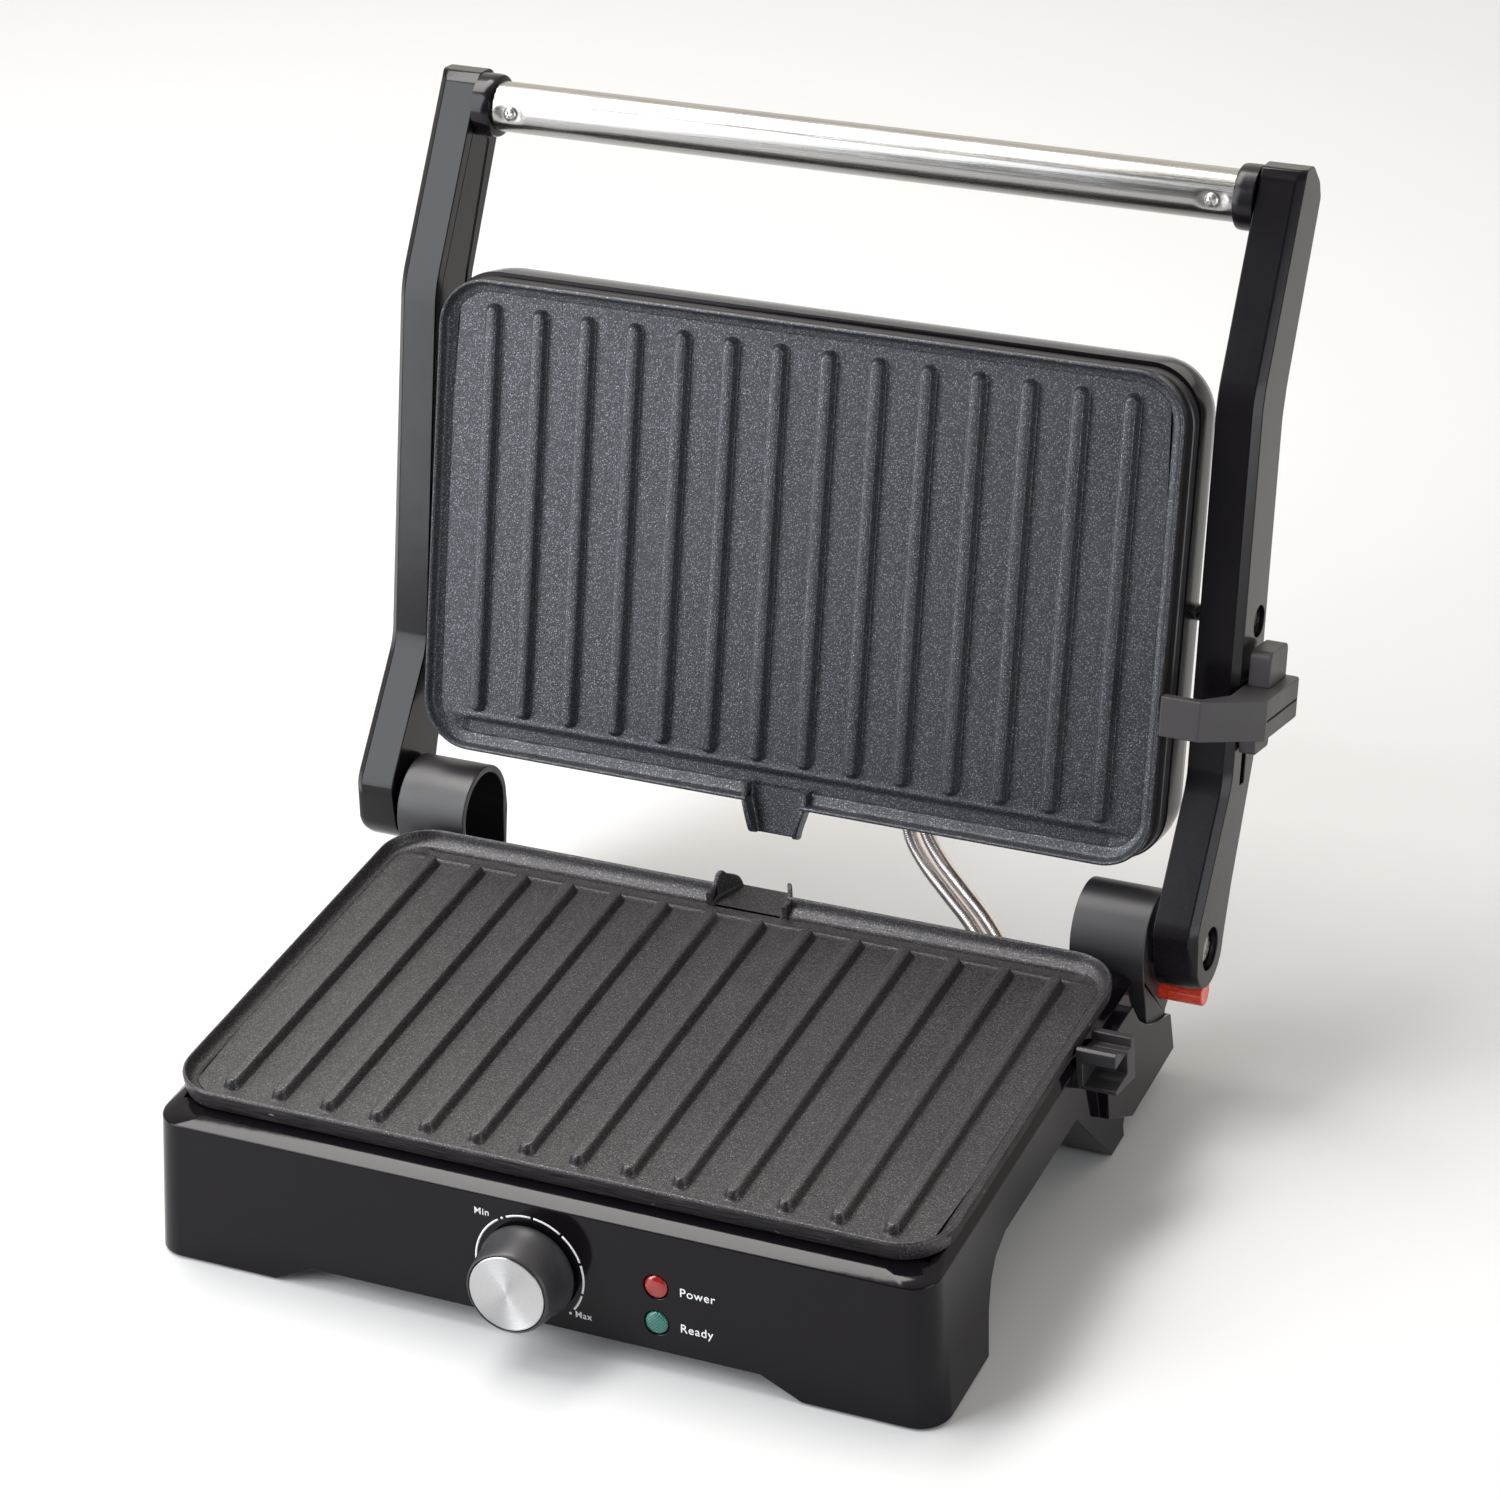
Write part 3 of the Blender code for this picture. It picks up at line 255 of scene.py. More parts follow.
def gloss_plastic(name, tint=(0.004, 0.003, 0.0045), ior=1.28, roughness=0.075):
    """Polished black moulding: faint orange peel, rub marks and dust."""
    paint = Paint(name, tint, roughness, ior=ior)
    worn = paint.noise(9.0, 4.0)
    fine = paint.noise(900.0, 2.0)
    paint.roughness(paint.maths("ADD", paint.span(worn, 0.35, 0.7, roughness * 0.75, roughness * 1.35),
                                paint.span(fine, 0.55, 0.8, 0.0, 0.05)))
    paint.tones(worn, 0.3, 0.7, tint, shade(tint, 1.35))
    paint.bump(paint.noise(160.0, 1.0), 0.1, 0.0002)
    return paint.made


def satin_plastic(name, tint=(0.021, 0.0195, 0.0215), roughness=0.42, grain=0.16):
    """Spark-eroded black moulding: fine grain with a soft sheen."""
    paint = Paint(name, tint, roughness, ior=1.5)
    fine = paint.noise(3800.0, 2.0)
    cloud = paint.noise(34.0, 3.0)
    paint.roughness(paint.maths("ADD", paint.span(cloud, 0.3, 0.7, roughness * 0.88, roughness * 1.12),
                                paint.span(fine, 0.4, 0.7, -0.03, 0.05)))
    paint.tones(fine, 0.35, 0.7, tint, shade(tint, 1.55))
    paint.bump(fine, grain, 0.00008)
    return paint.made


def speckled_coating(name, tint, roughness, sparkle):
    """Non-stick coating: sprayed grain with bright metallic specks in a dark ground."""
    paint = Paint(name, tint, roughness, ior=1.45)
    grain = paint.noise(1500.0, 3.0, 0.6)
    speck = paint.cells(1350.0)
    cloud = paint.noise(22.0, 3.0)
    spots = paint.span(speck, 0.14, 0.46, 1.0, 0.0, True)
    pick = paint.span(paint.noise(1500.0, 1.0), 0.36, 0.56, smooth=True)
    glint = paint.maths("MULTIPLY", spots, pick)
    ground = paint.blend(paint.span(grain, 0.4, 0.64), shade(tint, 0.45),
                         shade(tint, 2.1))
    ground = paint.blend(paint.span(cloud, 0.3, 0.75, 0.0, 0.35), ground, shade(tint, 1.6))
    paint.colour(paint.blend(paint.maths("MULTIPLY", glint, 0.75), ground, sparkle))
    paint.metallic(paint.maths("MULTIPLY", glint, 0.7))
    paint.roughness(paint.maths("ADD", paint.span(cloud, 0.3, 0.7, roughness - 0.05, roughness + 0.05),
                                paint.span(grain, 0.35, 0.7, 0.07, -0.07)))
    paint.bump(grain, 0.6, 0.00026)
    paint.bump(paint.noise(520.0, 2.0), 0.25, 0.00025)
    return paint.made


def streaked_wall(name, tint):
    """Outer wall of a cast plate: tool marks along the edge, with thin coating over them."""
    paint = Paint(name, tint, 0.6, ior=1.3)
    streak = paint.noise(60.0, 6.0, 0.7, (1.0, 1.0, 62.0))
    chips = paint.span(paint.noise(420.0, 2.0, 0.6, (0.45, 0.45, 1.6)), 0.7, 0.74, smooth=True)
    ground = paint.blend(paint.span(streak, 0.44, 0.6), shade(tint, 0.3),
                         shade(tint, 4.2))
    paint.colour(paint.blend(chips, ground, (0.32, 0.31, 0.31)))
    paint.metallic(paint.maths("MULTIPLY", chips, 0.8))
    paint.roughness(paint.span(streak, 0.3, 0.7, 0.75, 0.5))
    paint.bump(streak, 0.5, 0.0003)
    return paint.made


def brushed_steel(name, along, tint, roughness):
    """Steel brushed along one direction; along gives the stretch for each axis."""
    paint = Paint(name, tint, roughness, 1.0)
    streak = paint.noise(60.0, 6.0, 0.65, along)
    cloud = paint.noise(18.0, 2.0)
    paint.roughness(paint.maths("ADD", paint.span(streak, 0.3, 0.7, roughness - 0.07, roughness + 0.09),
                                paint.span(cloud, 0.3, 0.7, -0.02, 0.02)))
    paint.tones(streak, 0.35, 0.65, shade(tint, 0.88), shade(tint, 1.1))
    paint.bump(streak, 0.1, 0.00006)
    return paint.made


def plain_steel(name, tint, roughness):
    """Plated fastener steel with a mottled zinc finish."""
    paint = Paint(name, tint, roughness, 1.0)
    mottle = paint.noise(520.0, 4.0)
    paint.roughness(paint.span(mottle, 0.3, 0.7, roughness - 0.08, roughness + 0.12))
    paint.tones(mottle, 0.3, 0.7, shade(tint, 0.75), tint)
    paint.bump(mottle, 0.15, 0.00005)
    return paint.made


def wound_steel(name, tint):
    """Bright drawn wire, tinted a little by heat along its length."""
    paint = Paint(name, tint, 0.22, 1.0)
    cloud = paint.noise(75.0, 3.0)
    fine = paint.noise(1400.0, 2.0)
    paint.roughness(paint.span(fine, 0.3, 0.7, 0.26, 0.4))
    paint.tones(cloud, 0.3, 0.7, shade(tint, 0.86), tint)
    paint.bump(fine, 0.05, 0.00003)
    return paint.made


def spun_disc(name):
    """Aluminium turned on a lathe: fine rings round the centre, lit as two opposed fans."""
    paint = Paint(name, (0.78, 0.78, 0.79), 0.27, 1.0, Anisotropic=0.85, Anisotropic_Rotation=0.25)
    x, y, _ = paint.split()
    squares = paint.maths("ADD", paint.maths("MULTIPLY", x, x), paint.maths("MULTIPLY", y, y))
    radius = paint.maths("SQRT", squares, 0.0)
    ring = paint.nodes.new("ShaderNodeTexNoise")
    ring.noise_dimensions = "1D"
    ring.inputs["Scale"].default_value = 9000.0
    ring.inputs["Detail"].default_value = 4.0
    paint.links.new(radius, ring.inputs["W"])
    rings = ring.outputs["Fac"]
    paint.roughness(paint.span(rings, 0.3, 0.7, 0.26, 0.4))
    paint.tones(rings, 0.3, 0.7, (0.4, 0.4, 0.41), (0.64, 0.64, 0.65))
    paint.bump(rings, 0.12, 0.00004)
    tangent = paint.nodes.new("ShaderNodeTangent")
    tangent.direction_type = "RADIAL"
    tangent.axis = "Z"
    paint.links.new(tangent.outputs["Tangent"], paint.shader.inputs["Tangent"])
    return paint.made


def lens_plastic(name, tint, facets=0.0, painted_glow=None):
    """Clear tinted lens; facets gives it a moulded pattern whose crests take a painted glow, a lighter colour
    standing in for light caught in the facets.
    """
    paint = Paint(name, tint, 0.1, ior=1.49, Coat_Weight=0.6, Coat_Roughness=0.04)
    grain = paint.noise(700.0, 3.0)
    body = paint.blend(paint.span(grain, 0.35, 0.68), shade(tint, 0.72), tint)
    if facets:
        x, y, _ = paint.split()
        waves = [paint.maths("SINE", paint.maths("MULTIPLY", along, facets), 0.0) for along in (x, y)]
        pattern = paint.maths("MULTIPLY", *waves)
        # painted glow: the facet pattern blends the body towards a lighter colour that stands in for light in
        # the lens
        body = paint.blend(paint.span(pattern, -0.6, 0.7), body, painted_glow)
        paint.bump(pattern, 0.5, 0.0002)
    paint.colour(body)
    paint.roughness(paint.span(grain, 0.3, 0.7, 0.07, 0.16))
    return paint.made


def matt_ceramic(name, tint):
    paint = Paint(name, tint, 0.6)
    grain = paint.noise(900.0, 4.0)
    paint.tones(grain, 0.3, 0.7, shade(tint, 0.8), tint)
    paint.roughness(paint.span(grain, 0.3, 0.7, 0.5, 0.75))
    paint.bump(grain, 0.2, 0.0001)
    return paint.made


def printed_ink(name):
    """Pad-printed white ink, slightly uneven."""
    paint = Paint(name, (0.8, 0.81, 0.84), 0.5)
    grain = paint.noise(2600.0, 3.0)
    paint.tones(grain, 0.3, 0.6, (0.6, 0.61, 0.65), (0.84, 0.85, 0.88))
    paint.roughness(paint.span(grain, 0.3, 0.7, 0.42, 0.6))
    return paint.made


GLOSS = gloss_plastic("gloss_black")
GLOSS_COVER = gloss_plastic("gloss_black_cover", (0.0045, 0.0035, 0.0045), 1.17, 0.12)
GLOSS_ARM = gloss_plastic("gloss_black_arm", (0.0045, 0.0036, 0.0048), 1.32, 0.19)
SATIN = satin_plastic("satin_black")
SATIN_SOFT = satin_plastic("satin_slider", (0.03, 0.0265, 0.0285), 0.48, 0.22)
KNOB = satin_plastic("satin_knob", (0.022, 0.021, 0.023), 0.4, 0.1)
UPPER_COAT = speckled_coating("nonstick_upper", (0.0195, 0.0205, 0.0255), 0.33, (0.27, 0.29, 0.32))
LOWER_COAT = speckled_coating("nonstick_lower", (0.019, 0.0168, 0.0185), 0.36, (0.2, 0.19, 0.2))
WALL = streaked_wall("plate_wall", (0.0105, 0.0092, 0.01))
HANDLE_STEEL = brushed_steel("handle_steel", (0.35, 40.0, 40.0), (0.33, 0.322, 0.307), 0.23)
STEEL = plain_steel("fastener_steel", (0.6, 0.59, 0.57), 0.28)
COIL = wound_steel("conduit_steel", (0.74, 0.67, 0.64))
REFLECTOR = brushed_steel("reflector_sheet", (1.0, 24.0, 24.0), (0.62, 0.61, 0.59), 0.34)
CERAMIC = matt_ceramic("ceramic_tan", (0.55, 0.5, 0.42))
RUBBER = satin_plastic("foot_rubber", (0.016, 0.016, 0.016), 0.8, 0.35)
RED_BUTTON = lens_plastic("red_button", (0.78, 0.055, 0.02))
RED_LENS = lens_plastic("red_lens", (0.32, 0.009, 0.008))
# the last colour is the painted glow on the green lens's facets
GREEN_LENS = lens_plastic("green_lens", (0.003, 0.05, 0.042), 5200.0, (0.02, 0.22, 0.17))
LAMP = lens_plastic("lamp_glass", (0.72, 0.48, 0.36))
DISC = spun_disc("dial_disc")
INK = printed_ink("white_ink")


# ---------------------------------------------------------------- mesh helpers
def linked(name, data):
    made = bpy.data.objects.new(name, data)
    bpy.context.collection.objects.link(made)
    return made


def add(name, built, finish, matrix, smooth=35):
    """One object from a bmesh; several finishes go by the faces' material index."""
    bmesh.ops.recalc_face_normals(built, faces=built.faces)
    mesh = bpy.data.meshes.new(name)
    built.to_mesh(mesh)
    built.free()
    mesh.shade_smooth()
    if smooth:
        mesh.set_sharp_from_angle(angle=math.radians(smooth))
    made = linked(name, mesh)
    made.matrix_world = matrix
    for one in (finish if isinstance(finish, (list, tuple)) else (finish,)):
        if one is not None:
            mesh.materials.append(one)
    return made


def bake(made):
    """Replaces the object's mesh by the result of its modifiers."""
    bpy.context.view_layer.update()
    graph = bpy.context.evaluated_depsgraph_get()
    mesh = bpy.data.meshes.new_from_object(made.evaluated_get(graph))
    old = made.data
    made.modifiers.clear()
    made.data = mesh
    bpy.data.meshes.remove(old)


def combine(target, operation, built, matrix):
    """A Boolean with a bmesh tool, applied at once."""
    tool = add("tool", built, None, matrix, 0)
    change = target.modifiers.new("tool", "BOOLEAN")
    change.operation = operation
    change.solver = "EXACT"
    change.object = tool
    bake(target)
    bpy.data.objects.remove(tool, do_unlink=True)


def cut(target, built, matrix):
    combine(target, "DIFFERENCE", built, matrix)


def fuse(target, built, matrix):
    combine(target, "UNION", built, matrix)


def smooth(made, angle):
    made.data.shade_smooth()
    made.data.set_sharp_from_angle(angle=math.radians(angle))


def soften(made, width, segments, angle):
    """Rounded edges with flat faces kept flat."""
    mesh = made.data
    built = bmesh.new()
    built.from_mesh(mesh)
    bmesh.ops.remove_doubles(built, verts=built.verts, dist=0.00002)
    bmesh.ops.dissolve_limit(built, angle_limit=math.radians(1.0), verts=built.verts, edges=built.edges)
    built.to_mesh(mesh)
    built.free()
    change = made.modifiers.new("edge", "BEVEL")
    change.width = width
    change.segments = segments
    change.limit_method = "ANGLE"
    change.angle_limit = math.radians(angle)
    change.use_clamp_overlap = False
    change.miter_outer = "MITER_ARC"
    bake(made)
    smooth(made, 40)
    even = made.modifiers.new("even", "WEIGHTED_NORMAL")
    even.keep_sharp = True
    bake(made)


def loft(rings, closed=False):
    built = bmesh.new()
    loops = [[built.verts.new(point) for point in ring] for ring in rings]
    count = len(loops[0])
    for lower, upper in zip(loops, loops[1:] + loops[:1] if closed else loops[1:]):
        for i in range(count):
            j = (i + 1) % count
            built.faces.new((lower[i], lower[j], upper[j], upper[i]))
    if not closed:
        built.faces.new(list(reversed(loops[0])))
        built.faces.new(loops[-1])
    return built


def prism_x(outline, low, high):
    return loft([[(x, y, z) for y, z in outline] for x in (low, high)])


def prism_y(outline, low, high):
    return loft([[(x, y, z) for x, z in outline] for y in (low, high)])


def box(low, high):
    (x0, y0, z0), (x1, y1, z1) = low, high
    return prism_x([(y0, z0), (y1, z0), (y1, z1), (y0, z1)], x0, x1)


def turned(profile, axis, sides, closed=False):
    rings = []
    for radius, height in profile:
        ring = []
        for i in range(sides):
            angle = 2 * math.pi * i / sides
            a, b = radius * math.cos(angle), radius * math.sin(angle)
            ring.append((height, a, b) if axis == "X" else (a, b, height))
        rings.append(ring)
    return loft(rings, closed)


def rod(radius, low, high, sides, axis="X"):
    return turned(((radius, low), (radius, high)), axis, sides)


def rounded_rectangle(half_x, y_low, y_high, corner, steps):
    points = []
    corner = max(corner, 0.0002)
    for x, y, start in ((half_x - corner, y_low + corner, -90), (half_x - corner, y_high - corner, 0),
                        (-half_x + corner, y_high - corner, 90), (-half_x + corner, y_low + corner, 180)):
        for i in range(steps + 1):
            angle = math.radians(start + 90 * i / steps)
            points.append((x + corner * math.cos(angle), y + corner * math.sin(angle)))
    return points


def rectangle_loft(levels, steps=10):
    rings = []
    for z, half_x, y_low, y_high, corner in levels:
        rings.append([(x, y, z) for x, y in rounded_rectangle(half_x, y_low, y_high, corner, steps)])
    return loft(rings)


def rounded(outline, radii, steps):
    """A closed outline with a radius at each corner; one number serves all."""
    count = len(outline)
    if isinstance(radii, (int, float)):
        radii = [radii] * count
    points = []
    for i in range(count):
        here = Vector(outline[i])
        before = Vector(outline[i - 1]) - here
        after = Vector(outline[(i + 1) % count]) - here
        angle = before.angle(after)
        reach = radii[i] / math.tan(angle / 2) if angle < math.pi - 0.02 else 0.0
        reach = min(reach, before.length * 0.49, after.length * 0.49)
        if reach < 1e-6:
            points.append(tuple(here))
            continue
        a = here + before.normalized() * reach
        b = here + after.normalized() * reach
        for k in range(steps + 1):
            t = k / steps
            point = a * (1 - t) ** 2 + here * 2 * t * (1 - t) + b * t ** 2
            points.append(tuple(point))
    return points


def sweep(points, radius, sides):
    path = [Vector(p) for p in points]
    rings = []
    side = Vector((1, 0, 0))
    for i, here in enumerate(path):
        ahead = (path[min(i + 1, len(path) - 1)] - path[max(i - 1, 0)]).normalized()
        side = side - ahead * side.dot(ahead)
        if side.length < 1e-4:
            side = ahead.orthogonal()
        side.normalize()
        up = ahead.cross(side)
        size = radius(i) if callable(radius) else radius
        rings.append([here + size * (math.cos(2 * math.pi * k / sides) * side
                                     + math.sin(2 * math.pi * k / sides) * up) for k in range(sides)])
    return loft(rings)


def smooth_path(points, steps):
    path = [Vector(p) for p in points]
    ends = [2 * path[0] - path[1]] + path + [2 * path[-1] - path[-2]]
    made = []
    for i in range(1, len(ends) - 2):
        a, b, c, d = ends[i - 1:i + 3]
        for k in range(steps):
            t = k / steps
            made.append(0.5 * (2 * b + (c - a) * t + (2 * a - 5 * b + 4 * c - d) * t ** 2
                               + (3 * b - a - 3 * c + d) * t ** 3))
    made.append(path[-1])
    return made


def piece(made, body, slot, *nodes):
    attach(made, body)
    if nodes:
        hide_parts(*nodes)


# ---------------------------------------------------------------- grill plates
def smoothstep(low, high, value):
    t = np.clip((value - low) / (high - low), 0.0, 1.0)
    return t * t * (3 - 2 * t)


def plate_tray(name, matrix, coat, spout_half, pad):
    """Rim and walls of a plate, with the mouth cut for its spout."""
    half = PLATE_WIDTH / 2
    profile = (
        (0.013, -PLATE_WALL - pad), (0.0128, -PLATE_WALL - pad), (0.0122, -PLATE_WALL + 0.0002),
        (0.0016, -PLATE_WALL), (0.001, -PLATE_WALL + 0.0003), (0.0006, -PLATE_WALL + 0.001),
        (0.0001, -0.003), (0.0000, -0.0011), (0.0001, -0.0006), (0.0004, -0.0002), (0.0008, 0.0000),
        (0.0011, -0.0001), (0.0014, -0.0004), (0.0016, -0.001), (0.0019, -0.0022), (0.0022, -0.0034),
        (0.0027, -0.004), (0.0035, -0.0045), (0.0045, -0.0048), (0.0056, -0.0051), (0.0062, -0.0056),
        (0.0064, -0.0074),
    )
    rings = []
    for inset, z in profile:
        plan = rounded_rectangle(half - inset, inset, PLATE_DEPTH - inset, PLATE_CORNER - inset, 12)
        rings.append([(x, y, z) for x, y in plan])
    built = loft(rings)
    for face in built.faces:
        middle = face.calc_center_median()
        outer = max(abs(middle.x) - half, -middle.y, middle.y - PLATE_DEPTH)
        if middle.z < -0.0012 and outer > -0.0012 or middle.z < -PLATE_WALL + 0.0004:
            face.material_index = 1
    tray = add(name, built, (coat, WALL), matrix, 50)
    mouth = box((-spout_half, 0.184, CHANNEL_FLOOR - 0.0004), (spout_half, PLATE_DEPTH + 0.002, 0.01))
    cut(tray, mouth, matrix)
    smooth(tray, 50)
    return tray


def plate_floor(name, matrix, coat, spout_half):
    """Ribs, drain channel and cooking floor as one fine sheet with a skirt."""
    half = PLATE_WIDTH / 2
    edge = 0.0056
    ribs = [(i - (RIB_COUNT - 1) / 2) * RIB_PITCH for i in range(RIB_COUNT)]
    offsets = (-4.5, -3.85, -3.6, -3.35, -3.1, -2.85, -2.6, -2.35, -2.1, -1.9, -1.5, -0.8, 0.0)
    offsets = [o * MM for o in offsets] + [-o * MM for o in offsets[-2::-1]]
    xs = sorted({round(x + o, 6) for x in ribs for o in offsets}
                | {round(v, 6) for v in np.linspace(-half + edge, half - edge, 39)}
                | {round(s * (spout_half + o), 6) for s in (-1, 1) for o in (-0.0008, -0.0004, 0.0, 0.0004)})
    low, high = edge, PLATE_DEPTH - edge
    near = [RIB_FRONT + v * MM for v in (-1.2, -0.6, -0.2, 0.15, 0.5, 0.9, 1.4, 2.0, 2.6, 3.2)]
    far = [RIB_BACK - v * MM for v in (3.2, 2.6, 2.0, 1.4, 0.9, 0.5, 0.15, -0.2, -0.6, -1.1)]
    drain = np.linspace(0.1784, high, 13)
    ys = sorted({round(v, 6) for v in [low, *near, 0.05, 0.09, 0.13, *far, *drain]})
    gx, gy = np.meshgrid(np.array(xs), np.array(ys), indexing="ij")
    height = np.full_like(gx, PLATE_FLOOR)
    rise = RIB_TOP - PLATE_FLOOR
    for x in ribs:
        along = np.clip(gy, RIB_FRONT + RIB_HALF, RIB_BACK - RIB_HALF)
        away = np.hypot(gx - x, gy - along) / RIB_HALF
        crown = 1.0 - smoothstep(0.52, 1.0, away) - 0.04 * np.clip(away / 0.52, 0, 1) ** 2
        height = np.maximum(height, PLATE_FLOOR + rise * np.clip(crown, 0, 1))
    dx = np.abs(gx) - (CHANNEL_HALF_LENGTH - CHANNEL_END_RADIUS)
    dy = np.abs(gy - CHANNEL_Y) - (CHANNEL_HALF_WIDTH - CHANNEL_END_RADIUS)
    corner = np.hypot(np.maximum(dx, 0), np.maximum(dy, 0))
    outside = corner + np.minimum(np.maximum(dx, dy), 0) - CHANNEL_END_RADIUS
    height -= (PLATE_FLOOR - CHANNEL_FLOOR) * (1 - smoothstep(-0.0026, 0.0002, outside))
    lip = np.exp(-((gy - 0.1781) / 0.0012) ** 2) * 0.00035
    height += lip * (np.abs(gx) < CHANNEL_HALF_LENGTH)
    mouth = (np.abs(gx) < spout_half - 0.0002) & (gy > 0.1836)
    height[mouth] = CHANNEL_FLOOR
    radius = PLATE_CORNER - edge
    cx = np.clip(gx, -(half - edge - radius), half - edge - radius)
    cy = np.clip(gy, low + radius, high - radius)
    reach = np.hypot(gx - cx, gy - cy)
    pull = np.where(reach > radius, radius / np.maximum(reach, 1e-9), 1.0)
    px = cx + (gx - cx) * pull
    py = cy + (gy - cy) * pull
    built = bmesh.new()
    grid = [[built.verts.new((px[i, j], py[i, j], height[i, j])) for j in range(len(ys))]
            for i in range(len(xs))]
    for i in range(len(xs) - 1):
        for j in range(len(ys) - 1):
            built.faces.new((grid[i][j], grid[i + 1][j], grid[i + 1][j + 1], grid[i][j + 1]))
    bmesh.ops.remove_doubles(built, verts=built.verts, dist=0.00003)
    rim = [line for line in built.edges if line.is_boundary]
    skirt = bmesh.ops.extrude_edge_only(built, edges=rim)
    for made in skirt["geom"]:
        if isinstance(made, bmesh.types.BMVert):
            made.co.z = -0.0076
    return add(name, built, coat, matrix, 60)


def trough(name, matrix, coat, stations):
    """The spout: a funnel-shaped trough through (y, inner half width, wall top) stations."""
    rings = []
    for y, half, top in stations:
        top = max(top, CHANNEL_FLOOR + 0.0006)
        outline = (
            (-half - SPOUT_WALL, -PLATE_WALL), (half + SPOUT_WALL, -PLATE_WALL), (half + SPOUT_WALL, top),
            (half, top), (half, CHANNEL_FLOOR), (-half, CHANNEL_FLOOR), (-half, top), (-half - SPOUT_WALL, top),
        )
        radii = (0.0008, 0.0008, 0.0008, 0.0008, 0.0014, 0.0014, 0.0008, 0.0008)
        rings.append([(x, y, z) for x, z in rounded(outline, radii, 6)])
    middle = (CHANNEL_FLOOR - PLATE_WALL) / 2
    rings.append([(x * 0.985, y + 0.0003, middle + (z - middle) * 0.72) for x, y, z in rings[-1]])
    return add(name, loft(rings), coat, matrix, 40)


LOWER_SPOUT = mm(
    (184.8, 15.2, -1.2), (190.6, 15.2, -1), (191.4, 15, -0.2), (192.1, 14.7, 1.2), (192.7, 14.5, 2.6),
    (193.3, 14.2, 3.4), (194.1, 13.8, 3.7), (195, 13.4, 3.4), (196.2, 12.8, 1.8), (198, 12, 0.6),
    (200, 11.1, -0.8), (201.4, 10.4, -2), (202.2, 10, -3.4), (202.6, 9.8, -4.8),
)
UPPER_SPOUT = mm(
    (184.8, 11.8, -1.2), (190.6, 11.8, -1), (191.8, 11.6, -0.6), (193.5, 11.1, -0.4), (196, 10.4, -0.4),
    (199, 9.5, -0.6), (202, 8.7, -1), (203.6, 8.4, -1.6), (204.4, 8.3, -2.6), (204.8, 8.2, -4),
)


def grill_plates():
    for half, matrix, coat, spout_half, pad, stations, body in (
            ("upper", UPPER, UPPER_COAT, UPPER_SPOUT_HALF, 0.0, UPPER_SPOUT, "upper_housing"),
            ("lower", BASE, LOWER_COAT, SPOUT_HALF, 0.0022, LOWER_SPOUT, "base")):
        for made in (plate_tray(f"{half}_tray", matrix, coat, spout_half, pad),
                     plate_floor(f"{half}_ribs", matrix, coat, spout_half),
                     trough(f"{half}_spout", matrix, coat, stations)):
            piece(made, body, "nonstick_aluminium", f"{half}_plate")


grill_plates()


